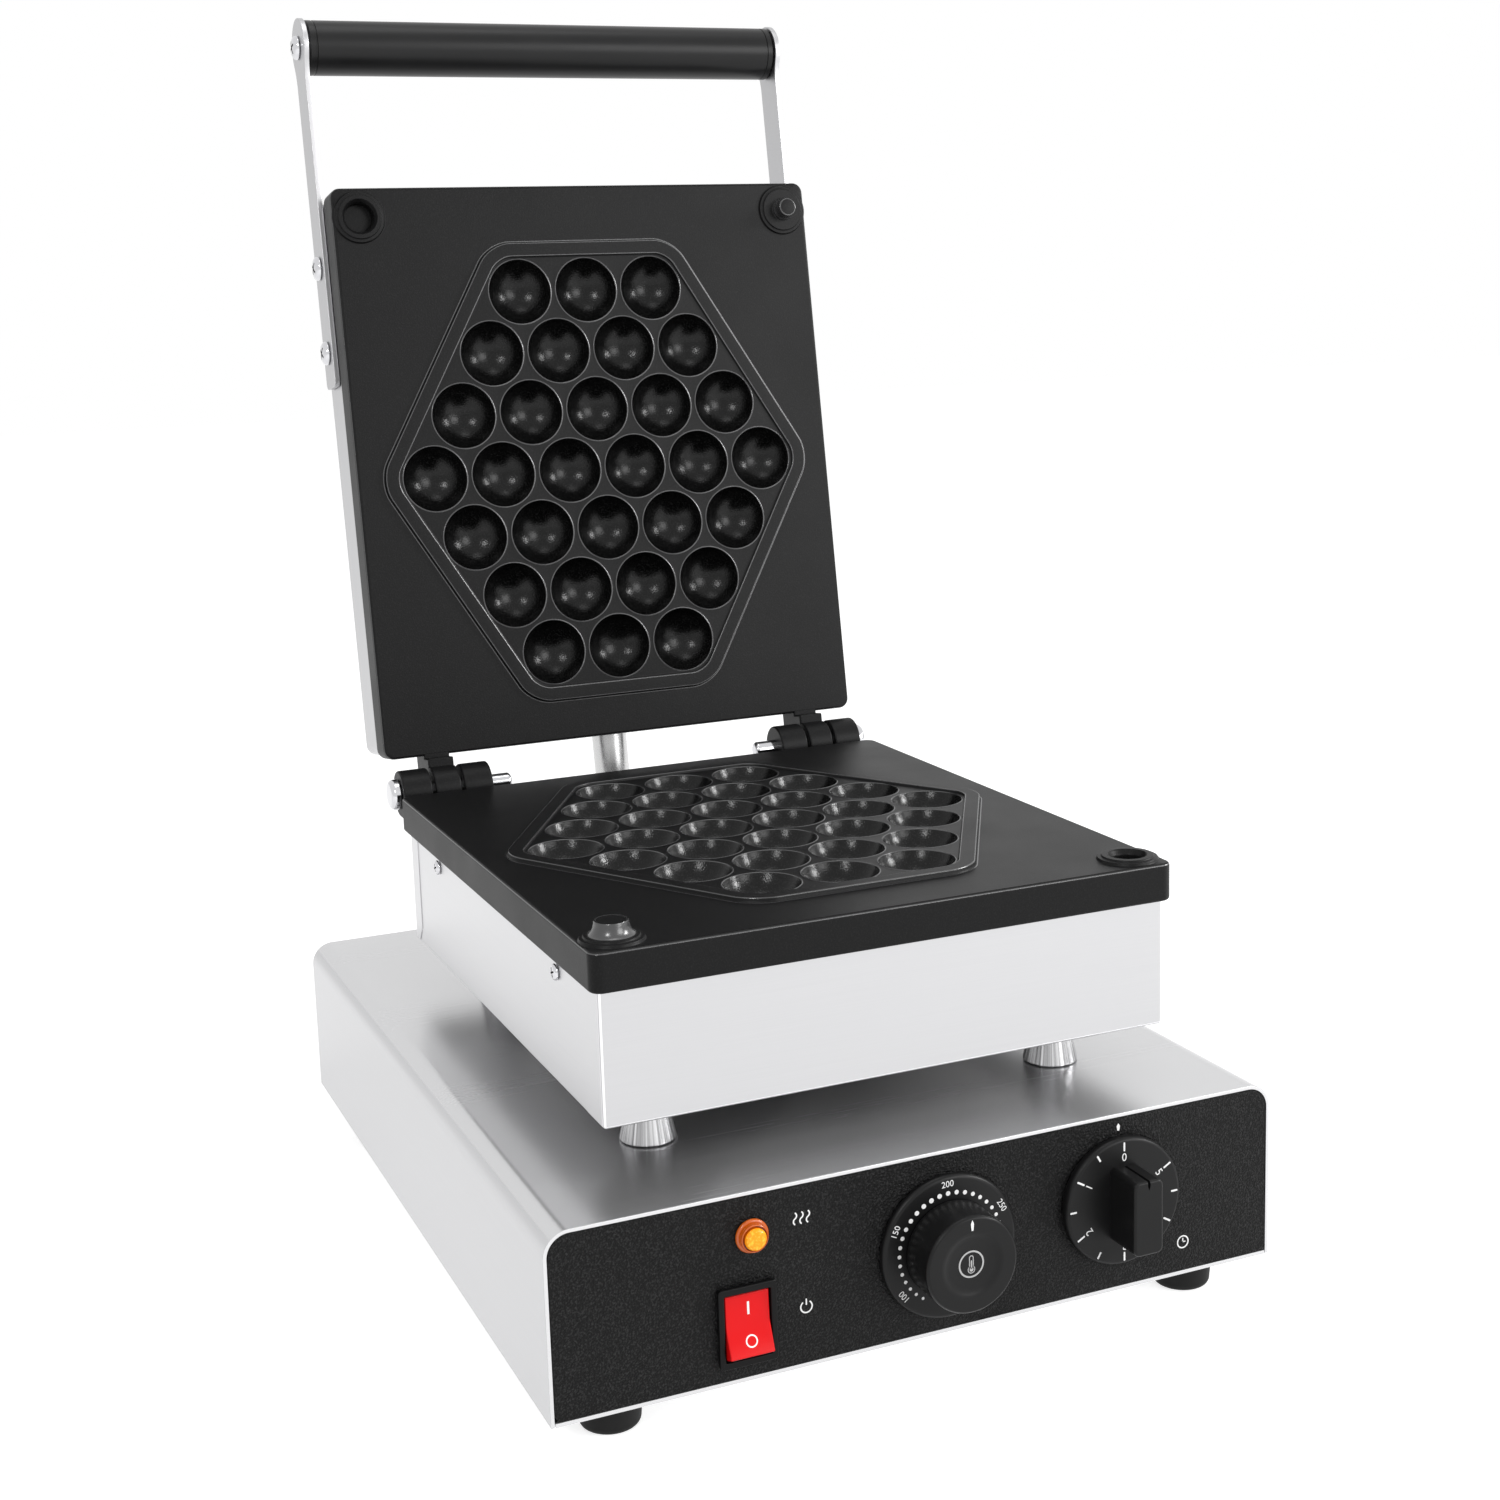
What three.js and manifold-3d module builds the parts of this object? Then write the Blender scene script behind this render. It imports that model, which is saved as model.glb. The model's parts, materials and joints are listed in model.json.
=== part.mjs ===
// A countertop bubble waffle iron. A stainless base box with a black control panel carries, on four
// turned spacers, a steel tray with the lower baking plate. The lid, with the upper baking plate,
// turns on two pins at the back and is lifted by a black grip between two flat arms.
// Millimetres, +X to the right, +Y to the back, +Z up. The lid is drawn shut and opened at the end.
import * as THREE from 'three';
import { mergeVertices } from 'three/addons/utils/BufferGeometryUtils.js';
import Module from 'manifold-3d';

const wasm = await Module();
wasm.setup();

// Clearances, and the overrun of every cut and join
const seatGap = 0.3;
const turnGap = 0.6;
const parting = 0.5;
const overrun = 1;
const mergeTolerance = 0.0001;

// Facets
const roundSides = 24;
const smallSides = 12;
const dialSides = 40;
const dimpleSides = 14;
const dimpleRings = 4;
const domeSteps = 4;
const cornerSteps = 3;
const headSteps = 8;
const nutSides = 6;

// Base box
const baseWidth = 305;
const baseDepth = 376;
const baseHeight = 73;
const baseEdgeRadius = 10;
const baseSheet = 1.5;
const panelThickness = 2;
const panelRecess = 0.2;
const panelLowRadius = 2.5;
const bottomSheet = 1.5;

// Feet
const footHeight = 14;
const footTopRadius = 12.5;
const footLowRadius = 11.5;
const footEdgeRadius = 1.5;
const footInsetX = 28.5;
const backFootInsetX = 19;
const footInsetFront = 20;
const footInsetBack = 50;
const footRecessRadius = 3.5;
const footRecessDepth = 6;
const footPegRadius = 4;
const footPegLength = 5;

// Spacers between base and tray
const spacerHeight = 22;
const spacerLowRadius = 11.4;
const spacerTopRadius = 6.4;
const spacerShoulder = 0.8;
const studRadius = 3;
const studLength = 4;
const spacerHalfSpan = 89;
const spacerFromTrayEnd = 37.5;

// Baking plates
const plateWidth = 245;
const plateDepth = 272;
const plateThickness = 15.5;
const plateCornerRadius = 5;
const plateFrontMargin = 23;
const fieldEndMargin = 47.665;
const dimpleLand = 3;
const dimpleDepth = 11.5;
const rowCounts = [3, 4, 5, 6, 5, 4, 3];
const fieldTowardHinge = 4;
const rimHeight = 2;
const fieldRecess = 1.2;
const rimInnerMargin = 1.5;
const rimWidth = 6.8;
const rimOuterRadius = 11;
const rimInnerRadius = 6;

// Locating boss, pin and their ring sockets at the plates' free corners
const locatorInsetX = 13;
const locatorInsetY = 14;
const locatorDiscRadius = 12.2;
const bossHeight = 5.5;
const bossLowRadius = 7.8;
const bossTopRadius = 5.9;
const bossDishRadius = 4.4;
const bossDishDepth = 1.2;
const pinHeight = 7;
const pinRadius = 4.7;
const pinStepRadius = 5.5;
const pinStepHeight = 2;
const socketClearance = 0.9;

// Lower tray
const trayInset = 3.5;
const trayHeight = 51.7;
const traySheet = 1.2;
const trayCornerRadius = 2.5;
const trayScrewDrop = 6;
const trayScrewInset = 52;

// Lugs that hang behind each plate and take the side screws
const lugLength = 16;
const lugWidth = 10;
const lugPastScrew = 7;

// Screws
const screwHeadRadius = 5.8;
const screwHeadHeight = 2.8;
const screwRadius = 2.2;
const smallHeadRadius = 3.3;
const smallHeadHeight = 2;
const smallScrewRadius = 1.6;
const screwDome = 1.2;
const screwBite = 6;
const gripScrewBite = 20;

// Hinge
const hingeBehindPlate = 16;
const hingeBelowPlateTop = 2.5;
const knuckleRadius = 11;
const knuckleOuterEnd = 119;
const outerKnuckle = 14;
const lidKnuckle = 12.5;
const innerKnuckle = 14;
const knuckleGap = 1.5;
const hingePinRadius = 4.2;
const hingeHeadRadius = 7.3;
const hingeHeadHeight = 4.5;
const hingeTipLength = 11.5;
const hingeTipRound = 2;

// Lid shell
const openAngle = 99;
const shellHeight = 28.2;
const shellInset = 1;
const shellSheet = 1.2;
const shellRadius = 6;

// Handle
const gripPastPlate = 73.5;
const gripHeight = 36;
const gripRadius = 13;
const gripEdge = 1;
const armThickness = 2.5;
const armWidth = 19;
const armHeadRadius = 14;
const armHeadAngle = 62;
const armNeck = 26;
const armFootRadius = 3;
const armFootInset = 91;
const armScrewInsets = { near: 74, far: 33 };

// Lead conduit on the lid
const conduitRadius = 8.75;
const conduitWall = 1.2;
const conduitReach = 58;
const conduitInside = 8;
const bushLip = 2;
const bushNeck = 9;
const bushBore = 4;

// Heating elements and insulation
const heaterOuterOffset = -9;
const heaterInnerOffset = -17;
const heaterHeight = 8;
const heaterCorner = 6;
const heaterTailRadius = 3;
const heaterTailLength = 8;
const heaterTailSpread = 18;
const insulationInset = 16;
const lowerInsulation = 16;
const upperInsulation = 8;

// Places on the panels, as shares of the base's width from its middle and of its height
const switchShares = [-0.2525, 0.3082];
const lampShares = [-0.2426, 0.7671];
const thermostatShares = [0.018, 0.4863];
const timerShares = [0.2672, 0.5247];
const glandShares = [0.3279, 0.4247];

// Rocker switch
const bezelWidth = 23;
const bezelHeight = 31;
const bezelThickness = 2;
const bezelRadius = 1.5;
const bezelLip = 1.4;
const switchDepth = 22;
const switchBack = 1.6;
const rockerWidth = 17.4;
const rockerRadius = 12.4;
const rockerPivotDepth = 1;
const rockerCornerAngle = 22;
const rockerValley = 2.6;
const rockerBack = 6;
const rockerTilt = 12;

// Pilot lamp
const lampFlangeRadius = 6.5;
const lampFlange = 1.4;
const lampBodyRadius = 4.6;
const lampBodyDepth = 18;
const lensRadius = 5.4;
const lensHeight = 3.6;
const lensSkirt = 1;

// Dials and what carries them
const scaleRadius = 28.5;
const scaleThickness = 3;
const scaleBevel = 1.5;
const scaleBore = 8;
const knobRadius = 19;
const knobHeight = 17;
const knobEdge = 1.5;
const knobDishRadius = 11;
const knobDishDepth = 0.8;
const shaftRadius = 3;
const shaftReach = 11;
const bushingRadius = 5;
const controlWidth = 34;
const controlDepth = 22;
const timerSkirtRadius = 26;
const timerSkirt = 4;
const timerBarWidth = 13;
const timerBarLength = 30;
const timerBarHeight = 22;
const timerBarRound = 2.5;
const timerBarCrown = 3;

// Gland, grommet and terminals
const glandRadius = 9;
const glandBore = 4;
const glandOut = 20;
const glandIn = 10;
const nutRadius = 13;
const nutLength = 6;
const grommetFromBack = 38;
const grommetRadius = 11;
const grommetNeckRadius = 8.5;
const grommetBore = 5;
const grommetLip = 2;
const terminalFromRight = 92.5;
const terminalFromBack = 98;
const terminalWidth = 46;
const terminalDepth = 22;
const terminalHeight = 18;
const terminalFoot = 4;
const terminalBore = 2.5;
const terminalPitch = 14;

// Heights and places that follow from the sizes above
const baseTop = footHeight + baseHeight;
const trayBottom = baseTop + spacerHeight;
const trayTop = trayBottom + trayHeight;
const plateBottom = trayTop + seatGap;
const plateTop = plateBottom + plateThickness;
const frontFace = -baseDepth / 2;
const backFace = baseDepth / 2;
const panelFace = frontFace + panelRecess;
const backPanelFace = backFace - panelRecess;
const plateFront = frontFace + plateFrontMargin;
const plateBack = plateFront + plateDepth;
const plateMiddle = plateFront + plateDepth / 2;
const trayWidth = plateWidth - 2 * trayInset;
const trayDepth = plateDepth - 2 * trayInset;
const fieldY = plateMiddle + fieldTowardHinge;
const rowPitch = (plateDepth - 2 * fieldEndMargin) / (rowCounts.length - 1);
const dimplePitch = rowPitch / Math.sin(Math.PI / 3);
const dimpleRadius = (dimplePitch - dimpleLand) / 2;
const rimInnerOffset = dimpleRadius + rimInnerMargin;
const rimOuterOffset = rimInnerOffset + rimWidth;
const locatorX = plateWidth / 2 - locatorInsetX;
const locatorY = plateFront + locatorInsetY;
const hingeY = plateBack + hingeBehindPlate;
const hingeZ = plateTop - hingeBelowPlateTop;
const trayScrewPlaces = { front: trayScrewInset, back: plateDepth - trayScrewInset };
const lidFace = hingeBelowPlateTop + 2 * rimHeight + parting;
const lidPlateBack = lidFace + plateThickness;
const shellBottom = lidPlateBack + seatGap;
const shellTop = shellBottom + shellHeight;
const shellWidth = plateWidth - 2 * shellInset;
const shellDepth = plateDepth - 2 * shellInset;
const shellMiddle = -hingeBehindPlate - plateDepth / 2;
const shellNear = shellMiddle + shellDepth / 2;
const armInside = shellWidth / 2 + seatGap;
const armOutside = armInside + armThickness;
const lidReach = hingeBehindPlate + plateDepth;
const gripReach = lidReach + gripPastPlate;
const armFootReach = lidReach - armFootInset;
const rockerPivotY = panelFace + rockerPivotDepth;
const [switchX, switchZ] = panelPlace(switchShares);
const [lampX, lampZ] = panelPlace(lampShares);
const [thermostatX, thermostatZ] = panelPlace(thermostatShares);
const [timerX, timerZ] = panelPlace(timerShares);
const [glandX, glandZ] = panelPlace(glandShares);
const grommetY = backFace - grommetFromBack;
const terminalX = baseWidth / 2 - terminalFromRight;
const terminalY = backFace - terminalFromBack;

const steel = { color: 0xc9cacb, roughness: 0.3, metalness: 1 };
const chrome = { color: 0xe4e5e7, roughness: 0.12, metalness: 1 };
const aluminium = { color: 0xbfc1c4, roughness: 0.28, metalness: 1 };
const darkSteel = { color: 0x6f7073, roughness: 0.45, metalness: 1 };
const coated = { color: 0x17181a, roughness: 0.5, metalness: 0.2 };
const fascia = { color: 0x1b1b1d, roughness: 0.65, metalness: 0 };
const blackPlastic = { color: 0x121213, roughness: 0.38, metalness: 0 };
const gripBlack = { color: 0x161617, roughness: 0.3, metalness: 0 };
const rubber = { color: 0x1a1a1a, roughness: 0.8, metalness: 0 };
const redPlastic = { color: 0xd81f1a, roughness: 0.22, metalness: 0 };
const amberPlastic = { color: 0xf39a12, roughness: 0.15, metalness: 0 };
const palePlastic = { color: 0xe6e0d2, roughness: 0.6, metalness: 0 };
const mineralWool = { color: 0xd9d3c3, roughness: 0.95, metalness: 0 };

// Solids

function signedVolume(position, corners) {
  const [a, b, c] = [new THREE.Vector3(), new THREE.Vector3(), new THREE.Vector3()];
  let sum = 0;
  for (let i = 0; i < corners.length; i += 3) {
    a.fromBufferAttribute(position, corners[i]);
    b.fromBufferAttribute(position, corners[i + 1]);
    c.fromBufferAttribute(position, corners[i + 2]);
    sum += a.dot(b.cross(c));
  }
  return sum;
}

function solid(geometry) {
  geometry.deleteAttribute('normal');
  geometry.deleteAttribute('uv');
  const merged = mergeVertices(geometry, mergeTolerance);
  const corners = merged.index.array;
  const kept = [];
  for (let i = 0; i < corners.length; i += 3) {
    const [a, b, c] = [corners[i], corners[i + 1], corners[i + 2]];
    if (a !== b && b !== c && c !== a) {
      kept.push(a, b, c);
    }
  }
  if (signedVolume(merged.attributes.position, kept) < 0) {
    kept.reverse();
  }
  return new wasm.Manifold(new wasm.Mesh({
    numProp: 3,
    vertProperties: Float32Array.from(merged.attributes.position.array),
    triVerts: Uint32Array.from(kept),
  }));
}

function join(...solids) {
  return solids.reduce((all, next) => all.add(next));
}

function cut(body, ...tools) {
  return tools.reduce((left, tool) => left.subtract(tool), body);
}

function block(x0, x1, y0, y1, z0, z1) {
  const geometry = new THREE.BoxGeometry(Math.abs(x1 - x0), y1 - y0, z1 - z0);
  geometry.translate((x0 + x1) / 2, (y0 + y1) / 2, (z0 + z1) / 2);
  return solid(geometry);
}

// An outline through corners that are given counter-clockwise, each rounded to its radius.
function roundedOutline(corners, radii) {
  const shape = new THREE.Shape();
  corners.forEach((corner, i) => {
    const toBefore = corners.at(i - 1).clone().sub(corner).normalize();
    const toAfter = corners[(i + 1) % corners.length].clone().sub(corner).normalize();
    const half = Math.acos(toBefore.dot(toAfter)) / 2;
    const radius = radii[i % radii.length];
    const start = corner.clone().addScaledVector(toBefore, radius / Math.tan(half));
    if (i === 0) {
      shape.moveTo(start.x, start.y);
    } else {
      shape.lineTo(start.x, start.y);
    }
    if (radius > 0) {
      const inward = toBefore.clone().add(toAfter).normalize();
      const centre = corner.clone().addScaledVector(inward, radius / Math.sin(half));
      const end = corner.clone().addScaledVector(toAfter, radius / Math.tan(half));
      shape.absarc(centre.x, centre.y, radius, start.sub(centre).angle(), end.sub(centre).angle(), false);
    }
  });
  shape.closePath();
  return shape;
}

// A rectangle about (x, y); the radii start at its low left corner and go counter-clockwise.
function rectangle(width, height, radii, x = 0, y = 0) {
  return roundedOutline([
    new THREE.Vector2(x - width / 2, y - height / 2),
    new THREE.Vector2(x + width / 2, y - height / 2),
    new THREE.Vector2(x + width / 2, y + height / 2),
    new THREE.Vector2(x - width / 2, y + height / 2),
  ], radii);
}

function extrude(shape, depth, curveSegments = cornerSteps) {
  return new THREE.ExtrudeGeometry(shape, { depth, curveSegments, bevelEnabled: false });
}

// An outline in X and Y, raised from z0 to z1.
function prismZ(shape, z0, z1) {
  const geometry = extrude(shape, z1 - z0);
  geometry.translate(0, 0, z0);
  return solid(geometry);
}

// An outline in X and Z, run from y0 back to y1.
function prismY(shape, y0, y1) {
  const geometry = extrude(shape, y1 - y0);
  geometry.rotateX(Math.PI / 2);
  geometry.translate(0, y1, 0);
  return solid(geometry);
}

// An outline in Y and Z, run from x0 to x1.
function prismX(shape, x0, x1, curveSegments = cornerSteps) {
  const geometry = extrude(shape, x1 - x0, curveSegments);
  geometry.applyMatrix4(new THREE.Matrix4().makeBasis(
    new THREE.Vector3(0, 1, 0), new THREE.Vector3(0, 0, 1), new THREE.Vector3(1, 0, 0)));
  geometry.translate(x0, 0, 0);
  return solid(geometry);
}

const turns = {
  up: (geometry) => geometry.rotateX(Math.PI / 2),
  down: (geometry) => geometry.rotateX(-Math.PI / 2),
  front: (geometry) => geometry.rotateX(Math.PI),
  back: (geometry) => geometry,
  right: (geometry) => geometry.rotateZ(-Math.PI / 2),
  left: (geometry) => geometry.rotateZ(Math.PI / 2),
};

// A turned solid from pairs of radius and height; its axis starts at `at` and runs the way named.
function turned(way, at, profile, sides = roundSides) {
  const points = profile.map(([radius, height]) => new THREE.Vector2(radius, height));
  const geometry = new THREE.LatheGeometry([...points, points[0].clone()], sides);
  turns[way](geometry);
  geometry.translate(...at);
  return solid(geometry);
}

function rod(way, at, radius, from, to, sides = roundSides) {
  return turned(way, at, [[0, from], [radius, from], [radius, to], [0, to]], sides);
}

const sides = [-1, 1];

function sideName(side) {
  return side > 0 ? 'right' : 'left';
}

// Base box

function panelPlace([acrossShare, heightShare]) {
  return [acrossShare * baseWidth, footHeight + heightShare * baseHeight];
}

function baseInside(lowRadius) {
  const clear = baseSheet + seatGap;
  const low = footHeight + bottomSheet + seatGap;
  const high = baseTop - clear;
  const topRadius = baseEdgeRadius - clear;
  return rectangle(baseWidth - 2 * clear, high - low, [lowRadius, lowRadius, topRadius, topRadius],
    0, (low + high) / 2);
}

function spacerPlaces() {
  const reach = trayDepth / 2 - spacerFromTrayEnd;
  return sides.flatMap((side) => [
    [`front_${sideName(side)}`, side * spacerHalfSpan, plateMiddle - reach],
    [`back_${sideName(side)}`, side * spacerHalfSpan, plateMiddle + reach],
  ]);
}

function footPlaces() {
  const frontX = baseWidth / 2 - footInsetX;
  const backX = baseWidth / 2 - backFootInsetX;
  return sides.flatMap((side) => [
    [`front_${sideName(side)}`, side * frontX, frontFace + footInsetFront],
    [`back_${sideName(side)}`, side * backX, backFace - footInsetBack],
  ]);
}

function studHoles(bottom, thickness) {
  return spacerPlaces().map(([, x, y]) =>
    rod('up', [x, y, bottom], studRadius + seatGap, -overrun, thickness + overrun, smallSides));
}

function baseShell() {
  const outer = rectangle(baseWidth, baseHeight, [0, 0, baseEdgeRadius, baseEdgeRadius],
    0, footHeight + baseHeight / 2);
  const innerRadius = baseEdgeRadius - baseSheet;
  const innerHeight = baseHeight - baseSheet + overrun;
  const inner = rectangle(baseWidth - 2 * baseSheet, innerHeight, [0, 0, innerRadius, innerRadius],
    0, baseTop - baseSheet - innerHeight / 2);
  const leadHole = rod('down', [0, grommetY, baseTop], grommetNeckRadius + seatGap,
    -overrun, baseSheet + overrun);
  return cut(prismY(outer, frontFace, backFace), prismY(inner, frontFace - overrun, backFace + overrun),
    ...studHoles(baseTop - baseSheet, baseSheet), leadHole);
}

function panelHole(x, z, radius) {
  return rod('back', [x, panelFace, z], radius + seatGap, -overrun, panelThickness + overrun, smallSides);
}

function frontPanel() {
  const plate = prismY(baseInside(panelLowRadius), panelFace, panelFace + panelThickness);
  const switchHole = rectangle(bezelWidth - 2 * bezelLip + 2 * seatGap,
    bezelHeight - 2 * bezelLip + 2 * seatGap, [0], switchX, switchZ);
  return cut(plate,
    panelHole(thermostatX, thermostatZ, bushingRadius),
    panelHole(timerX, timerZ, bushingRadius),
    panelHole(lampX, lampZ, lampBodyRadius),
    prismY(switchHole, panelFace - overrun, panelFace + panelThickness + overrun));
}

function backPanel() {
  const plate = prismY(baseInside(panelLowRadius), backPanelFace - baseSheet, backPanelFace);
  return cut(plate,
    rod('front', [glandX, backPanelFace, glandZ], glandRadius + seatGap, -overrun, baseSheet + overrun));
}

function bottomPlate() {
  const half = baseWidth / 2 - baseSheet - seatGap;
  const plate = block(-half, half, frontFace, backFace, footHeight, footHeight + bottomSheet);
  const holes = footPlaces().map(([, x, y]) => rod('up', [x, y, footHeight],
    footPegRadius + seatGap, -overrun, bottomSheet + overrun, smallSides));
  return cut(plate, ...holes);
}

// A rubber foot with a screw recess below and a peg up through the bottom plate.
function foot(x, y) {
  const top = footHeight - seatGap;
  return turned('up', [x, y, 0], [
    [0, footRecessDepth], [footRecessRadius, footRecessDepth], [footRecessRadius, 0],
    [footLowRadius - footEdgeRadius, 0], [footLowRadius, footEdgeRadius], [footTopRadius, top],
    [footPegRadius, top], [footPegRadius, top + footPegLength], [0, top + footPegLength],
  ]);
}

// A turned spacer with a threaded stud at each end.
function spacer(x, y) {
  const top = spacerHeight - seatGap;
  return turned('up', [x, y, baseTop], [
    [0, -studLength], [studRadius, -studLength], [studRadius, seatGap],
    [spacerLowRadius, seatGap], [spacerLowRadius, spacerShoulder], [spacerTopRadius, top],
    [studRadius, top], [studRadius, top + studLength], [0, top + studLength],
  ]);
}

function cableGland() {
  const at = [glandX, backPanelFace, glandZ];
  const inside = baseSheet + seatGap;
  return cut(
    join(
      rod('back', at, glandRadius, -glandIn, glandOut),
      rod('back', at, nutRadius, seatGap, seatGap + nutLength, nutSides),
      rod('front', at, nutRadius, inside, inside + nutLength, nutSides),
    ),
    rod('back', at, glandBore, -glandIn - overrun, glandOut + overrun, smallSides));
}

function leadGrommet() {
  const low = -baseSheet - seatGap;
  return turned('up', [0, grommetY, baseTop], [
    [grommetBore, low - grommetLip], [grommetRadius, low - grommetLip], [grommetRadius, low],
    [grommetNeckRadius, low], [grommetNeckRadius, seatGap], [grommetRadius, seatGap],
    [grommetRadius - grommetLip / 2, seatGap + grommetLip], [grommetBore, seatGap + grommetLip],
  ]);
}

function terminalBlock() {
  const floor = footHeight + bottomSheet + seatGap;
  const [left, right] = [terminalX - terminalWidth / 2, terminalX + terminalWidth / 2];
  const foot = block(left, right, terminalY - terminalDepth / 2, terminalY + terminalDepth / 2,
    floor, floor + terminalFoot);
  const body = block(left, right, terminalY - terminalDepth / 4, terminalY + terminalDepth / 4,
    floor, floor + terminalHeight);
  const bores = [-1, 0, 1].map((place) =>
    rod('down', [terminalX + place * terminalPitch, terminalY, floor + terminalHeight],
      terminalBore, -overrun, terminalHeight / 2, smallSides));
  return cut(join(foot, body), ...bores);
}

// Controls

function switchHousing() {
  const bezelBack = panelFace - seatGap;
  const bezel = rectangle(bezelWidth, bezelHeight, [bezelRadius], switchX, switchZ);
  const body = rectangle(bezelWidth - 2 * bezelLip, bezelHeight - 2 * bezelLip, [0], switchX, switchZ);
  const well = rectangle(rockerWidth + 2 * turnGap, 2 * (rockerRadius + seatGap), [0], switchX, switchZ);
  return cut(
    join(
      prismY(bezel, bezelBack - bezelThickness, bezelBack),
      prismY(body, bezelBack - bezelThickness / 2, panelFace + switchDepth),
    ),
    prismY(well, bezelBack - bezelThickness - overrun, panelFace + switchDepth - switchBack));
}

// Drawn level about its pivot: two flats that meet in a valley, and round ends.
function switchRocker() {
  const end = (angle) => {
    const turn = THREE.MathUtils.degToRad(angle);
    return [-rockerRadius * Math.sin(turn), rockerRadius * Math.cos(turn)];
  };
  const angles = [rockerCornerAngle, rockerCornerAngle / 2, 0, -rockerCornerAngle / 2, -rockerCornerAngle];
  const upper = angles.map(end);
  const lower = upper.map(([y, z]) => [y, -z]).reverse();
  const points = [[-rockerValley, 0], ...lower.reverse(), [rockerBack, 0], ...upper.reverse()];
  const shape = new THREE.Shape(points.map(([y, z]) => new THREE.Vector2(y, z)));
  return prismX(shape, -rockerWidth / 2, rockerWidth / 2);
}

function lampHolder() {
  return turned('front', [lampX, panelFace, lampZ], [
    [0, -lampBodyDepth], [lampBodyRadius, -lampBodyDepth], [lampBodyRadius, seatGap],
    [lampFlangeRadius, seatGap], [lampFlangeRadius, seatGap + lampFlange], [0, seatGap + lampFlange],
  ]);
}

function lampLens() {
  const floor = 2 * seatGap + lampFlange;
  const dome = [];
  for (let step = 0; step < domeSteps; step += 1) {
    const turn = (step / domeSteps) * (Math.PI / 2);
    dome.push([lensRadius * Math.cos(turn), floor + lensSkirt + lensHeight * Math.sin(turn)]);
  }
  return turned('front', [lampX, panelFace, lampZ],
    [[0, floor], [lensRadius, floor], ...dome, [0, floor + lensSkirt + lensHeight]]);
}

// The body behind the panel, with its threaded bush through the panel's hole.
function controlBody(x, z) {
  const behind = panelFace + panelThickness + seatGap;
  const body = prismY(rectangle(controlWidth, controlWidth, [0], x, z), behind, behind + controlDepth);
  return cut(
    join(body, rod('front', [x, panelFace, z], bushingRadius, -controlDepth / 2, 0, smallSides)),
    rod('back', [x, panelFace, z], shaftRadius + seatGap, -overrun, controlDepth / 2 + seatGap, smallSides));
}

function controlShaft(x, z) {
  return rod('front', [x, panelFace, z], shaftRadius, -controlDepth / 2, shaftReach, smallSides);
}

function thermostatScale() {
  const top = seatGap + scaleThickness;
  return turned('front', [thermostatX, panelFace, thermostatZ], [
    [scaleBore, seatGap], [scaleRadius, seatGap], [scaleRadius, top - scaleBevel],
    [scaleRadius - scaleBevel, top], [scaleBore, top],
  ], dialSides);
}

function thermostatKnob() {
  const back = 2 * seatGap + scaleThickness;
  const top = back + knobHeight;
  const bore = shaftRadius + seatGap;
  const boreEnd = shaftReach + seatGap;
  return turned('front', [thermostatX, panelFace, thermostatZ], [
    [0, boreEnd], [bore, boreEnd], [bore, back],
    [knobRadius, back], [knobRadius, top - knobEdge], [knobRadius - knobEdge, top],
    [knobDishRadius, top], [knobDishRadius - knobDishDepth, top - knobDishDepth], [0, top - knobDishDepth],
  ], dialSides);
}

// A round skirt with a bar across it, whose front edge is crowned.
function timerKnob() {
  const at = [timerX, panelFace, timerZ];
  const top = seatGap + timerSkirt;
  const skirt = turned('front', at, [
    [0, seatGap], [timerSkirtRadius, seatGap], [timerSkirtRadius, top - scaleBevel],
    [timerSkirtRadius - scaleBevel, top], [0, top],
  ], dialSides);
  const barFront = panelFace - timerBarHeight;
  const barBack = panelFace - seatGap - timerSkirt / 2;
  const plan = rectangle(timerBarWidth, timerBarLength, [timerBarRound], timerX, timerZ);
  const crown = rectangle(barBack - barFront, timerBarLength, [timerBarCrown, 0, 0, timerBarCrown],
    (barFront + barBack) / 2, timerZ);
  const bar = prismY(plan, barFront, barBack)
    .intersect(prismX(crown, timerX - timerBarWidth, timerX + timerBarWidth));
  return cut(join(skirt, bar),
    rod('front', at, shaftRadius + seatGap, -overrun, shaftReach + seatGap, smallSides));
}

// Baking plates, drawn with the baking face up and the hinge towards +Y

function dimplePlaces() {
  return rowCounts.flatMap((count, row) => {
    const y = fieldY + ((rowCounts.length - 1) / 2 - row) * rowPitch;
    return Array.from({ length: count }, (_, i) => [(i - (count - 1) / 2) * dimplePitch, y]);
  });
}

// The six-sided outline at one distance outside the centres of the outer dimples.
function fieldOutline(offset, radius) {
  const lean = Math.PI / 6;
  const high = (rowCounts.length - 1) / 2 * rowPitch + offset;
  const across = (Math.max(...rowCounts) - 1) / 2 * dimplePitch * Math.cos(lean) + offset;
  const corner = (across - high * Math.sin(lean)) / Math.cos(lean);
  const tip = across / Math.cos(lean);
  return roundedOutline([
    new THREE.Vector2(-corner, fieldY - high), new THREE.Vector2(corner, fieldY - high),
    new THREE.Vector2(tip, fieldY), new THREE.Vector2(corner, fieldY + high),
    new THREE.Vector2(-corner, fieldY + high), new THREE.Vector2(-tip, fieldY),
  ], [radius]);
}

function dimple(x, y, z) {
  const sphere = (dimpleRadius ** 2 + dimpleDepth ** 2) / (2 * dimpleDepth);
  const sweep = Math.acos((sphere - dimpleDepth) / sphere);
  const bowl = [];
  for (let ring = 0; ring <= dimpleRings; ring += 1) {
    const turn = sweep * ring / dimpleRings;
    bowl.push([sphere * Math.sin(turn), sphere - dimpleDepth - sphere * Math.cos(turn)]);
  }
  return turned('up', [x, y, z], [...bowl, [dimpleRadius, overrun], [0, overrun]], dimpleSides);
}

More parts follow.
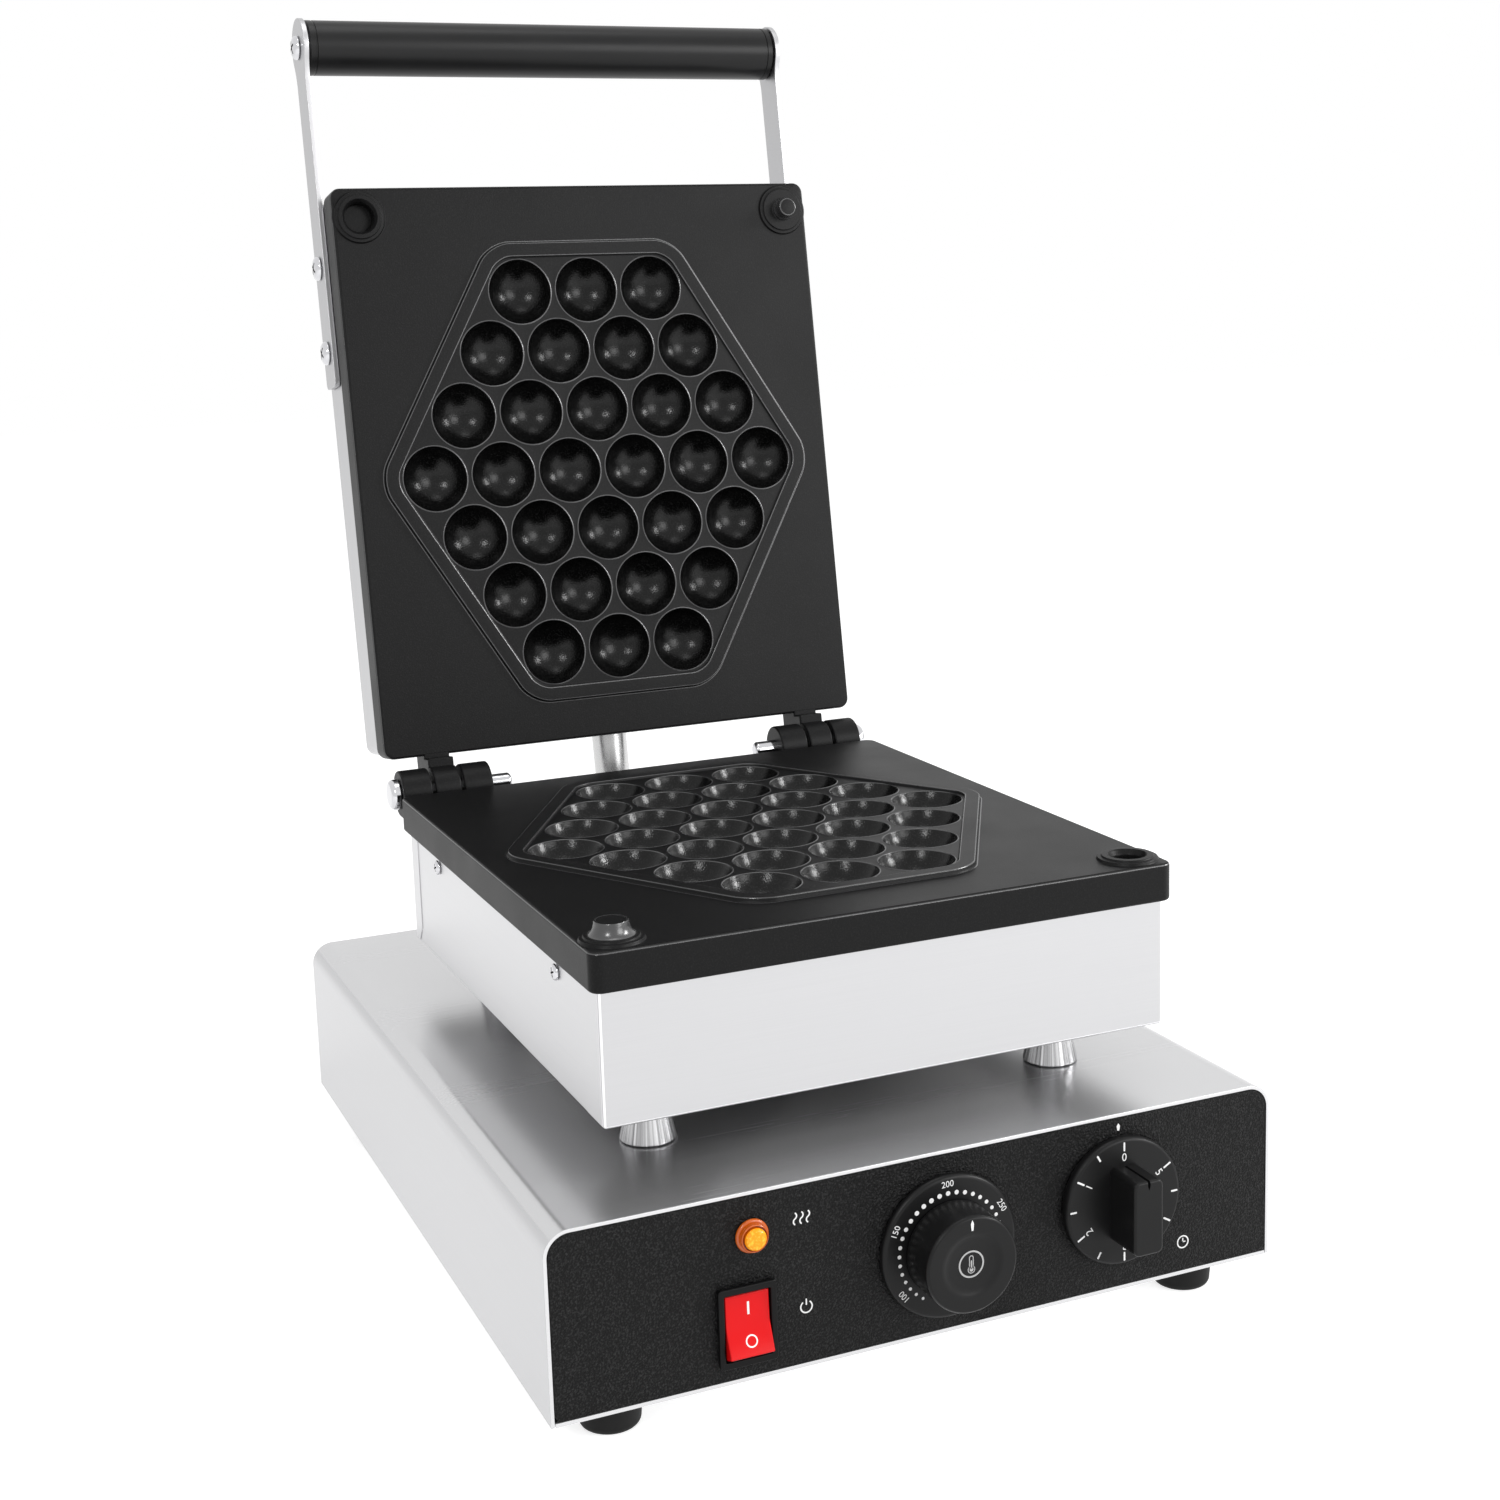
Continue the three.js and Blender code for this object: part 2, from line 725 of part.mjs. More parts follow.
// The screws' holes in the lugs behind a plate; each place is its distance from the plate's front.
function lugHoles(places, reach, drop, radius) {
  return sides.flatMap((side) => places.map((along) =>
    rod(sideName(side), [0, plateFront + along, plateTop - drop], radius + seatGap,
      reach - screwBite - overrun, reach + overrun, smallSides)));
}

function lugs(places, reach, drop) {
  return sides.flatMap((side) => places.map((along) => {
    const y = plateFront + along;
    const [x0, x1] = [side * (reach - lugWidth), side * reach];
    return block(x0, x1, y - lugLength / 2, y + lugLength / 2,
      plateTop - drop - lugPastScrew, plateTop - plateThickness / 2);
  }));
}

function bakingPlate(lugPlaces, lugReach, lugDrop, holeRadius) {
  const top = plateTop + rimHeight;
  const floor = top - fieldRecess;
  const slab = rectangle(plateWidth, plateDepth, [plateCornerRadius], 0, plateMiddle);
  const discs = sides.map((side) => rod('up', [side * locatorX, locatorY, plateTop],
    locatorDiscRadius, -overrun, rimHeight));
  const body = join(
    prismZ(slab, plateBottom, plateTop),
    prismZ(fieldOutline(rimOuterOffset, rimOuterRadius), plateTop - overrun, top),
    ...discs,
    ...lugs(lugPlaces, lugReach, lugDrop));
  return cut(body,
    prismZ(fieldOutline(rimInnerOffset, rimInnerRadius), floor, top + overrun),
    ...dimplePlaces().map(([x, y]) => dimple(x, y, floor)),
    ...lugHoles(lugPlaces, lugReach, lugDrop, holeRadius));
}

function locatorSocket(side, radius, height) {
  return rod('down', [side * locatorX, locatorY, plateTop + rimHeight],
    radius + socketClearance, -overrun, height + socketClearance);
}

// One hinge's knuckles from the outside in, as distances from the middle.
function knuckleSpans() {
  const outer = [knuckleOuterEnd - outerKnuckle, knuckleOuterEnd];
  const lid = [outer[0] - knuckleGap - lidKnuckle, outer[0] - knuckleGap];
  const inner = [lid[0] - knuckleGap - innerKnuckle, lid[0] - knuckleGap];
  return { outer, lid, inner };
}

function hingeBores(y, z) {
  return sides.map((side) => rod(sideName(side), [0, y, z], hingePinRadius + seatGap,
    knuckleSpans().inner[0] - overrun, knuckleOuterEnd + overrun));
}

function lowerPlate() {
  const reach = trayWidth / 2 - traySheet - seatGap;
  const plate = bakingPlate(Object.values(trayScrewPlaces), reach,
    plateThickness + seatGap + trayScrewDrop, smallScrewRadius);
  const boss = turned('up', [-locatorX, locatorY, plateTop + rimHeight], [
    [0, -overrun], [bossLowRadius, -overrun], [bossLowRadius, 0], [bossTopRadius, bossHeight],
    [bossDishRadius, bossHeight], [0, bossHeight - bossDishDepth],
  ]);
  const { outer, inner } = knuckleSpans();
  const knuckles = sides.flatMap((side) => [outer, inner].flatMap(([from, to]) => [
    rod(sideName(side), [0, hingeY, hingeZ], knuckleRadius, from, to),
    block(side * from, side * to, plateBack - overrun, hingeY, hingeZ - knuckleRadius, hingeZ),
  ]));
  return cut(join(plate, boss, ...knuckles),
    locatorSocket(1, pinStepRadius, pinHeight), ...hingeBores(hingeY, hingeZ));
}

function hingePin(side) {
  const tip = knuckleSpans().inner[0] - hingeTipLength;
  const head = knuckleOuterEnd + seatGap;
  return turned(sideName(side), [0, hingeY, hingeZ], [
    [0, tip], [hingePinRadius - hingeTipRound, tip], [hingePinRadius, tip + hingeTipRound],
    [hingePinRadius, head], [hingeHeadRadius, head], [hingeHeadRadius, head + hingeHeadHeight / 2],
    [hingeHeadRadius - hingeTipRound, head + hingeHeadHeight], [0, head + hingeHeadHeight],
  ]);
}

// A pan-head screw that points inwards; its head sits on a face at this distance from the middle.
function sideScrew(side, face, y, z, radius, headRadius, headHeight, length) {
  return turned(sideName(side), [0, y, z], [
    [0, face - length], [radius, face - length], [radius, face + seatGap],
    [headRadius, face + seatGap], [headRadius, face + headHeight - screwDome],
    [headRadius - screwDome, face + headHeight], [0, face + headHeight],
  ], smallSides);
}

// Lower tray, heaters and insulation

function lowerTray() {
  const outer = rectangle(trayWidth, trayDepth, [trayCornerRadius], 0, plateMiddle);
  const inner = rectangle(trayWidth - 2 * traySheet, trayDepth - 2 * traySheet,
    [trayCornerRadius - traySheet], 0, plateMiddle);
  const screwHoles = sides.flatMap((side) => Object.values(trayScrewPlaces).map((along) =>
    rod(sideName(side), [0, plateFront + along, trayTop - trayScrewDrop], smallScrewRadius + seatGap,
      trayWidth / 2 - traySheet - overrun, trayWidth / 2 + overrun, smallSides)));
  return cut(prismZ(outer, trayBottom, trayTop), prismZ(inner, trayBottom + traySheet, trayTop + overrun),
    ...studHoles(trayBottom, traySheet), ...screwHoles);
}

// A flat element under the ring of dimples, with two tails away from the plate.
function heater() {
  const top = plateBottom - seatGap;
  const low = top - heaterHeight;
  const tailY = fieldY + (rowCounts.length - 1) / 2 * rowPitch + (heaterOuterOffset + heaterInnerOffset) / 2;
  return join(
    cut(
      prismZ(fieldOutline(heaterOuterOffset, heaterCorner), low, top),
      prismZ(fieldOutline(heaterInnerOffset, heaterCorner), low - overrun, top + overrun),
    ),
    ...sides.map((side) => rod('down', [side * heaterTailSpread, tailY, low],
      heaterTailRadius, -overrun, heaterTailLength, smallSides)));
}

function lowerInsulationSlab() {
  const floor = trayBottom + traySheet + seatGap;
  const slab = rectangle(trayWidth - 2 * insulationInset, trayDepth - 2 * insulationInset, [trayCornerRadius],
    0, plateMiddle);
  return cut(prismZ(slab, floor, floor + lowerInsulation), ...studHoles(floor, lowerInsulation));
}

// Lid pieces, drawn shut about the hinge axis

// Turns a piece that was drawn like the lower plate over onto it.
function turnedOver(manifold) {
  return manifold.mirror([0, 0, 1]).translate([0, -hingeY, lidFace + plateTop]);
}

function upperPlate() {
  const reach = shellWidth / 2 - shellSheet - seatGap;
  const plate = bakingPlate(Object.values(armScrewInsets), reach, gripHeight - lidFace, screwRadius);
  const pin = turned('up', [locatorX, locatorY, plateTop + rimHeight], [
    [0, -overrun], [pinStepRadius, -overrun], [pinStepRadius, pinStepHeight],
    [pinRadius, pinStepHeight], [pinRadius, pinHeight], [0, pinHeight],
  ]);
  const [from, to] = knuckleSpans().lid;
  const knuckles = sides.flatMap((side) => [
    rod(sideName(side), [0, 0, 0], knuckleRadius, from, to),
    block(side * from, side * to, overrun - hingeBehindPlate, 0, 0, lidPlateBack),
    block(side * from, side * to, -overrun - hingeBehindPlate, 0, lidFace, lidPlateBack),
  ]);
  const body = turnedOver(cut(join(plate, pin), locatorSocket(-1, bossLowRadius, bossHeight)));
  return cut(join(body, ...knuckles), ...hingeBores(0, 0));
}

// The shell's outline, this far inside its outer faces: a plan with its top edges rounded too.
function shellForm(inset, bottom) {
  const width = shellWidth - 2 * inset;
  const depth = shellDepth - 2 * inset;
  const radius = shellRadius - inset;
  const top = shellTop - inset;
  const [back, middle] = [shellMiddle + depth / 2, (bottom + top) / 2];
  return prismZ(rectangle(width, depth, [radius], 0, shellMiddle), bottom, top)
    .intersect(prismY(rectangle(width, top - bottom, [0, 0, radius, radius], 0, middle), back - depth, back))
    .intersect(prismX(rectangle(depth, top - bottom, [0, 0, radius, radius], shellMiddle, middle),
      -width / 2, width / 2));
}

function lidShell() {
  const screwHoles = sides.flatMap((side) => Object.values(armScrewInsets).map((inset) =>
    rod(sideName(side), [0, inset - lidReach, gripHeight], screwRadius + seatGap,
      shellWidth / 2 - shellSheet - overrun, shellWidth / 2 + overrun, smallSides)));
  return cut(shellForm(0, shellBottom), shellForm(shellSheet, shellBottom - overrun), ...screwHoles,
    rod('front', [0, shellNear, gripHeight], conduitRadius + seatGap, -overrun, shellSheet + overrun));
}

function upperInsulationSlab() {
  const top = shellTop - shellSheet - seatGap;
  const slab = rectangle(shellWidth - 2 * insulationInset, shellDepth - 2 * insulationInset,
    [shellRadius], 0, shellMiddle);
  return prismZ(slab, top - upperInsulation, top);
}

// A flat arm whose round head carries the grip, with a waist where the head meets the shank.
function armOutline() {
  const half = armWidth / 2;
  const turn = THREE.MathUtils.degToRad(armHeadAngle);
  const [headY, headZ] = [armHeadRadius * Math.cos(turn), armHeadRadius * Math.sin(turn)];
  const waist = headY + (headZ - half) * Math.tan(turn);
  const shape = new THREE.Shape();
  shape.moveTo(-armFootReach, gripHeight - half + armFootRadius);
  shape.lineTo(-armFootReach, gripHeight + half - armFootRadius);
  shape.quadraticCurveTo(-armFootReach, gripHeight + half, -armFootReach - armFootRadius, gripHeight + half);
  shape.lineTo(armNeck - gripReach, gripHeight + half);
  shape.quadraticCurveTo(waist - gripReach, gripHeight + half, headY - gripReach, gripHeight + headZ);
  shape.absarc(-gripReach, gripHeight, armHeadRadius, turn, 2 * Math.PI - turn, false);
  shape.quadraticCurveTo(waist - gripReach, gripHeight - half, armNeck - gripReach, gripHeight - half);
  shape.lineTo(-armFootReach - armFootRadius, gripHeight - half);
  shape.quadraticCurveTo(-armFootReach, gripHeight - half, -armFootReach, gripHeight - half + armFootRadius);
  return shape;
}

function handleArm(side) {
  const [x0, x1] = [side * armInside, side * armOutside].sort((a, b) => a - b);
  const holes = [-gripPastPlate, ...Object.values(armScrewInsets)].map((inset) =>
    rod(sideName(side), [0, inset - lidReach, gripHeight], screwRadius + seatGap,
      armInside - overrun, armOutside + overrun, smallSides));
  return cut(prismX(armOutline(), x0, x1, headSteps), ...holes);
}

function grip() {
  const half = armInside - seatGap;
  const bore = screwRadius + seatGap;
  const boreEnd = half - gripScrewBite - seatGap;
  const body = turned('right', [0, -gripReach, gripHeight], [
    [0, -half], [gripRadius - gripEdge, -half], [gripRadius, gripEdge - half],
    [gripRadius, half - gripEdge], [gripRadius - gripEdge, half], [0, half],
  ]);
  return cut(body, ...sides.map((side) =>
    rod(sideName(side), [0, -gripReach, gripHeight], bore, boreEnd, half + overrun, smallSides)));
}

function leadConduit() {
  const at = [0, 0, gripHeight];
  const start = shellNear - conduitInside;
  return cut(rod('back', at, conduitRadius, start, conduitReach),
    rod('back', at, conduitRadius - conduitWall, start - overrun, conduitReach + overrun));
}

function conduitBush() {
  const neckRadius = conduitRadius - conduitWall - seatGap;
  const lip = conduitReach + seatGap;
  return turned('back', [0, 0, gripHeight], [
    [bushBore, lip - bushNeck], [neckRadius, lip - bushNeck], [neckRadius, lip],
    [conduitRadius, lip], [conduitRadius - bushLip / 2, lip + bushLip], [bushBore, lip + bushLip],
  ]);
}

// Assembly

function mesh(name, manifold, material) {
  const data = manifold.getMesh();
  const geometry = new THREE.BufferGeometry();
  geometry.setAttribute('position', new THREE.BufferAttribute(Float32Array.from(data.vertProperties), 3));
  geometry.setIndex([...data.triVerts]);
  geometry.computeVertexNormals();
  const part = new THREE.Mesh(geometry, new THREE.MeshStandardMaterial(material));
  part.name = name;
  return part;
}

const waffleIron = new THREE.Group();
waffleIron.add(
  mesh('base_shell', baseShell(), steel),
  mesh('front_panel', frontPanel(), fascia),
  mesh('back_panel', backPanel(), steel),
  mesh('bottom_plate', bottomPlate(), steel),
  ...footPlaces().map(([place, x, y]) => mesh(`foot_${place}`, foot(x, y), rubber)),
  mesh('cable_gland', cableGland(), blackPlastic),
  mesh('lead_grommet', leadGrommet(), rubber),
  mesh('terminal_block', terminalBlock(), palePlastic),
);

waffleIron.add(
  mesh('switch_housing', switchHousing(), blackPlastic),
  mesh('lamp_holder', lampHolder(), chrome),
  mesh('lamp_lens', lampLens(), amberPlastic),
  mesh('thermostat_scale', thermostatScale(), blackPlastic),
  mesh('thermostat_knob', thermostatKnob(), blackPlastic),
  mesh('thermostat_shaft', controlShaft(thermostatX, thermostatZ), darkSteel),
  mesh('thermostat_body', controlBody(thermostatX, thermostatZ), palePlastic),
  mesh('timer_knob', timerKnob(), blackPlastic),
  mesh('timer_shaft', controlShaft(timerX, timerZ), darkSteel),
  mesh('timer_body', controlBody(timerX, timerZ), palePlastic),
);

const rocker = mesh('switch_rocker', switchRocker(), redPlastic);
rocker.position.set(switchX, rockerPivotY, switchZ);
rocker.rotation.x = THREE.MathUtils.degToRad(-rockerTilt);
waffleIron.add(rocker);

waffleIron.add(
  ...spacerPlaces().map(([place, x, y]) => mesh(`spacer_${place}`, spacer(x, y), aluminium)),
  mesh('lower_tray', lowerTray(), steel),
  mesh('lower_plate', lowerPlate(), coated),
  mesh('lower_heater', heater(), darkSteel),
  mesh('lower_insulation', lowerInsulationSlab(), mineralWool),
  ...sides.flatMap((side) => [
    mesh(`hinge_pin_${sideName(side)}`, hingePin(side), chrome),
    ...Object.entries(trayScrewPlaces).map(([place, along]) => mesh(
      `tray_screw_${place}_${sideName(side)}`,
      sideScrew(side, trayWidth / 2, plateFront + along, trayTop - trayScrewDrop,
        smallScrewRadius, smallHeadRadius, smallHeadHeight, traySheet + seatGap + screwBite),
      chrome,
    )),
  ]),
);

const lid = new THREE.Group();
lid.add(
  mesh('upper_plate', upperPlate(), coated),
  mesh('lid_shell', lidShell(), steel),
  mesh('upper_heater', turnedOver(heater()), darkSteel),
  mesh('upper_insulation', upperInsulationSlab(), mineralWool),
  mesh('grip', grip(), gripBlack),
  mesh('lead_conduit', leadConduit(), steel),
  mesh('conduit_bush', conduitBush(), rubber),
  ...sides.flatMap((side) => [
    mesh(`handle_arm_${sideName(side)}`, handleArm(side), steel),
    mesh(`grip_screw_${sideName(side)}`,
      sideScrew(side, armOutside, -gripReach, gripHeight, screwRadius, screwHeadRadius, screwHeadHeight,
        armThickness + seatGap + gripScrewBite),
      chrome),
    ...Object.entries(armScrewInsets).map(([place, inset]) => mesh(
      `arm_screw_${place}_${sideName(side)}`,
      sideScrew(side, armOutside, inset - lidReach, gripHeight, screwRadius,
        screwHeadRadius, screwHeadHeight, armThickness + 2 * seatGap + shellSheet + screwBite),
      chrome,
    )),
  ]),
);
lid.position.set(0, hingeY, hingeZ);
lid.rotation.x = THREE.MathUtils.degToRad(-openAngle);
waffleIron.add(lid);

// The origin goes to the middle of the space that the opened part takes up.
const space = new THREE.Box3().setFromObject(waffleIron, true);
waffleIron.children.forEach((child) => child.position.setY(child.position.y - (space.min.y + space.max.y) / 2));

export default waffleIron;
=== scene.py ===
import json
import math

import bmesh
import bpy
from mathutils import Matrix, Vector


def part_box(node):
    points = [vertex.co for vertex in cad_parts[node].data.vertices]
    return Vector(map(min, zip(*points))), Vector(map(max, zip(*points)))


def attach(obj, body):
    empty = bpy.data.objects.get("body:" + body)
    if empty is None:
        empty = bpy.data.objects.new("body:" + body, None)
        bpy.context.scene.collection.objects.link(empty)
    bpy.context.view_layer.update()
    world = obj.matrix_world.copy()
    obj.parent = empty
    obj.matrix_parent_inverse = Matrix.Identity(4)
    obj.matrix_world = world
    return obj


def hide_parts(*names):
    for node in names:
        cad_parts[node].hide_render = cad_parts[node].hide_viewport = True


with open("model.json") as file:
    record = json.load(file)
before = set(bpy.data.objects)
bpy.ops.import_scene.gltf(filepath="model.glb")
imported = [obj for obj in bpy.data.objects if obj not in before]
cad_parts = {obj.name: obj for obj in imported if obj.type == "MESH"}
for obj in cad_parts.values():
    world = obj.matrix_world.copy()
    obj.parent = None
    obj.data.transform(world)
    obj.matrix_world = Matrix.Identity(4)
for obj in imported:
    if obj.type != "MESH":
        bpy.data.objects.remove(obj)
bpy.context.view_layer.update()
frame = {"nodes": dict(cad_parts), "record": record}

# Shapes are drawn in millimetres and brought to metres by piece().
MM = 0.001
UNIT = Matrix.Identity(4)


def low(node):
    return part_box(node)[0] / MM


def high(node):
    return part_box(node)[1] / MM


def middle(node):
    return (low(node) + high(node)) / 2


def move(x=0, y=0, z=0):
    return Matrix.Translation((x, y, z))


def turn(degrees, axis):
    return Matrix.Rotation(math.radians(degrees), 4, axis)


# Which way the +Z of a drawn shape points once it is placed
FRONT = turn(90, 'X')
BACK = turn(-90, 'X')
RIGHT = turn(90, 'Y')
LEFT = turn(-90, 'Y')
# A drawn outline's x and y become the object's y and z
SIDEWAYS = Matrix(((0, 0, 1, 0), (1, 0, 0, 0), (0, 1, 0, 0), (0, 0, 0, 1)))
SIDES = {'left': -1, 'right': 1}
OUTWARD = {'left': LEFT, 'right': RIGHT}


# Shapes

# Millimetres: heights nearer than SAME count as one, points nearer than MERGE are joined
SAME = 0.01
MERGE = 1e-4
# Edges that turn by more degrees than this stay sharp
SHARP_ANGLE = 35
NORMAL_WEIGHT = 80


def as_mesh(bm, name):
    mesh = bpy.data.meshes.new(name)
    bm.to_mesh(mesh)
    bm.free()
    return mesh


def into_scene(name, data):
    made = bpy.data.objects.new(name, data)
    bpy.context.scene.collection.objects.link(made)
    return made


def as_shape(made):
    """Takes an object out of the scene, as a shape with its modifiers applied."""
    mesh = bpy.data.meshes.new_from_object(made.evaluated_get(bpy.context.evaluated_depsgraph_get()))
    bpy.data.objects.remove(made)
    bm = bmesh.new()
    bm.from_mesh(mesh)
    bpy.data.meshes.remove(mesh)
    return bm


def verts_in(parts):
    return [part for part in parts if isinstance(part, bmesh.types.BMVert)]


def outward(bm):
    bmesh.ops.recalc_face_normals(bm, faces=bm.faces[:])
    return bm


def flip(bm):
    bmesh.ops.reverse_faces(bm, faces=bm.faces[:])


def level(edge):
    return abs(edge.verts[0].co.z - edge.verts[1].co.z) < SAME


def height_of(face):
    return face.calc_center_median().z


def lying_at(height):
    return lambda edge: all(abs(vert.co.z - height) < SAME for vert in edge.verts)


def chain(bm, points, closed):
    verts = [bm.verts.new((*point[:2], 0)) for point in points]
    if closed:
        bm.faces.new(verts)
    else:
        for a, b in zip(verts, verts[1:]):
            bm.edges.new((a, b))
    return verts


def bevel(bm, geom, width, segments, affect):
    bmesh.ops.bevel(bm, geom=geom, offset=width, offset_type='OFFSET', segments=segments, profile=0.5,
                    affect=affect, material=-1, clamp_overlap=True)


def round_corners(bm, verts, points, segments):
    for vert, point in zip(verts, points):
        if len(point) == 3:
            bevel(bm, [vert], point[2], segments, 'VERTICES')


def outline(points, segments=8):
    """A flat face from (x, y) corners, counter-clockwise; a third number rounds that corner."""
    bm = bmesh.new()
    verts = chain(bm, points, True)
    round_corners(bm, verts, points, segments)
    return bm


def box_outline(width, height, radii=0, segments=8):
    """A rectangle about 0, with one corner radius or four, counter-clockwise from the lower left."""
    x, y = width / 2, height / 2
    corners = [(-x, -y), (x, -y), (x, y), (-x, y)]
    if radii:
        each = radii if isinstance(radii, tuple) else (radii,) * 4
        corners = [(*corner, radius) for corner, radius in zip(corners, each)]
    return outline(corners, segments)


def swept(bm, geom, angle, steps, **more):
    return bmesh.ops.spin(bm, geom=geom, cent=(0, 0, 0), axis=(0, 0, 1), angle=angle, steps=steps, **more)


def spun(bm, steps):
    """Turns what is drawn once round Z."""
    swept(bm, bm.verts[:] + bm.edges[:], 2 * math.pi, steps, use_merge=True)
    bmesh.ops.remove_doubles(bm, verts=bm.verts[:], dist=MERGE)


def turned(profile, steps=64, closed=False):
    """A turned shape from (radius, height) points; a third number rounds that corner."""
    bm = bmesh.new()
    verts = chain(bm, profile, False)
    if closed:
        bm.edges.new((verts[-1], verts[0]))
    round_corners(bm, verts, profile, 4)
    bm.transform(turn(90, 'X'))
    spun(bm, steps)
    return outward(bm)


def raised(bm, height):
    """The flat face becomes a closed block, this high."""
    made = bmesh.ops.extrude_face_region(bm, geom=bm.faces[:])
    bmesh.ops.translate(bm, verts=verts_in(made['geom']), vec=(0, 0, height))
    return outward(bm)


def soften(bm, width, where=lambda edge: True, segments=3, angle=60):
    edges = [edge for edge in bm.edges if edge.is_manifold
             and math.degrees(edge.calc_face_angle(0)) > angle and where(edge)]
    bevel(bm, edges, width, segments, 'EDGES')
    return bm


def pierced(bm, *holes):
    """The flat outline filled but for the holes' outlines."""
    for hole in holes:
        add(bm, hole)
    bmesh.ops.delete(bm, geom=bm.faces[:], context='FACES_ONLY')
    bmesh.ops.triangle_fill(bm, edges=bm.edges[:], use_beauty=True, use_dissolve=False)
    return bm


def add(bm, part, place=UNIT):
    """Puts another shape into this one."""
    part.transform(place)
    mesh = as_mesh(part, 'part')
    bm.from_mesh(mesh)
    bpy.data.meshes.remove(mesh)
    return bm


def carve(bm, cutter):
    """Cuts one closed shape out of another."""
    body, tool = [into_scene('part', as_mesh(shape, 'part')) for shape in (bm, cutter)]
    cut = body.modifiers.new('Cut', 'BOOLEAN')
    cut.operation, cut.solver, cut.object, cut.use_self = 'DIFFERENCE', 'EXACT', tool, True
    out = as_shape(body)
    bpy.data.objects.remove(tool)
    return out


def piece(name, bm, finishes, body, place=UNIT, stands_for=None, weighted=True):
    """Makes one piece in metres; stands_for is the CAD node that it replaces."""
    bm.transform(place)
    if place.determinant() < 0:
        flip(bm)
    bm.transform(Matrix.Scale(MM, 4))
    mesh = as_mesh(bm, name)
    for finish in finishes if isinstance(finishes, list) else [finishes]:
        mesh.materials.append(finish)
    mesh.shade_smooth()
    mesh.set_sharp_from_angle(angle=math.radians(SHARP_ANGLE))
    made = into_scene(name, mesh)
    if weighted:
        normals = made.modifiers.new('Normals', 'WEIGHTED_NORMAL')
        normals.keep_sharp = True
        normals.weight = NORMAL_WEIGHT
    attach(made, body)
    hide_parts(*([stands_for] if stands_for else []))


# Materials

def node(tree, kind, links=(), **values):
    """Adds a shader node; a value may be a plain number, a colour or another node's output."""
    made = tree.nodes.new('ShaderNode' + kind)
    for name, value in values.items():
        setattr(made, name, value)
    for socket, value in dict(links).items():
        target = made.inputs[socket]
        if isinstance(value, bpy.types.NodeSocket):
            tree.links.new(value, target)
        else:
            target.default_value = value
    return made


def group(name, inputs, outputs):
    """A group of nodes; its Vector socket takes a vector, and all others carry numbers."""
    tree = bpy.data.node_groups.new(name, 'ShaderNodeTree')
    for direction, labels in (('INPUT', inputs), ('OUTPUT', outputs)):
        for label in labels:
            kind = 'NodeSocketVector' if label == 'Vector' else 'NodeSocketFloat'
            tree.interface.new_socket(name=label, in_out=direction, socket_type=kind)
    return tree, tree.nodes.new('NodeGroupInput').outputs, tree.nodes.new('NodeGroupOutput')


# A Mix node keeps its numbers on sockets 2 and 3 and its colours on 6 and 7
def blend_numbers(tree, factor, a, b):
    return node(tree, 'Mix', {0: factor, 2: a, 3: b}, data_type='FLOAT').outputs[0]


def blend_colours(tree, factor, a, b):
    return node(tree, 'Mix', {0: factor, 6: a, 7: b}, data_type='RGBA').outputs[2]


def between(tree, value, least, most):
    """Stretches a value so that least becomes 0 and most becomes 1."""
    return node(tree, 'MapRange', {0: value, 1: least, 2: most, 3: 0.0, 4: 1.0}).outputs[0]


def seen_by(tree, *rays):
    """1 for the named kinds of ray, and 0 for all others."""
    path = node(tree, 'LightPath')
    total = path.outputs[rays[0]]
    for ray in rays[1:]:
        total = node(tree, 'Math', {0: total, 1: path.outputs[ray]}, operation='ADD', use_clamp=True).outputs[0]
    return total


def make_brushing():
    """Long fine lines along X of the mapping it is given, from 0 to 1."""
    tree, given, result = group('brushing', ('Vector', 'Fineness'), ('Lines', 'Patches'))
    scale = node(tree, 'VectorMath', {0: given['Vector'], 1: (12, 1800, 1800)}, operation='MULTIPLY')
    fine = node(tree, 'TexNoise', {'Vector': scale.outputs[0], 'Scale': given['Fineness'], 'Detail': 3,
                                   'Roughness': 0.6})
    broad = node(tree, 'VectorMath', {0: given['Vector'], 1: (3, 22, 22)}, operation='MULTIPLY')
    patches = node(tree, 'TexNoise', {'Vector': broad.outputs[0], 'Scale': 1.0, 'Detail': 2})
    tree.links.new(fine.outputs[0], result.inputs['Lines'])
    tree.links.new(patches.outputs[0], result.inputs['Patches'])
    return tree


def make_grain():
    """Small pits and bumps of a moulded or cast skin, from 0 to 1."""
    tree, given, result = group('grain', ('Vector', 'Scale', 'Sharpness'), ('Height', 'Mottle'))
    bumps = node(tree, 'TexNoise', {'Vector': given['Vector'], 'Scale': given['Scale'], 'Detail': 2,
                                    'Roughness': given['Sharpness']})
    mottle = node(tree, 'TexNoise', {'Vector': given['Vector'], 'Scale': 28, 'Detail': 4})
    tree.links.new(bumps.outputs[0], result.inputs['Height'])
    tree.links.new(mottle.outputs[0], result.inputs['Mottle'])
    return tree


BRUSHING = make_brushing()
GRAIN = make_grain()


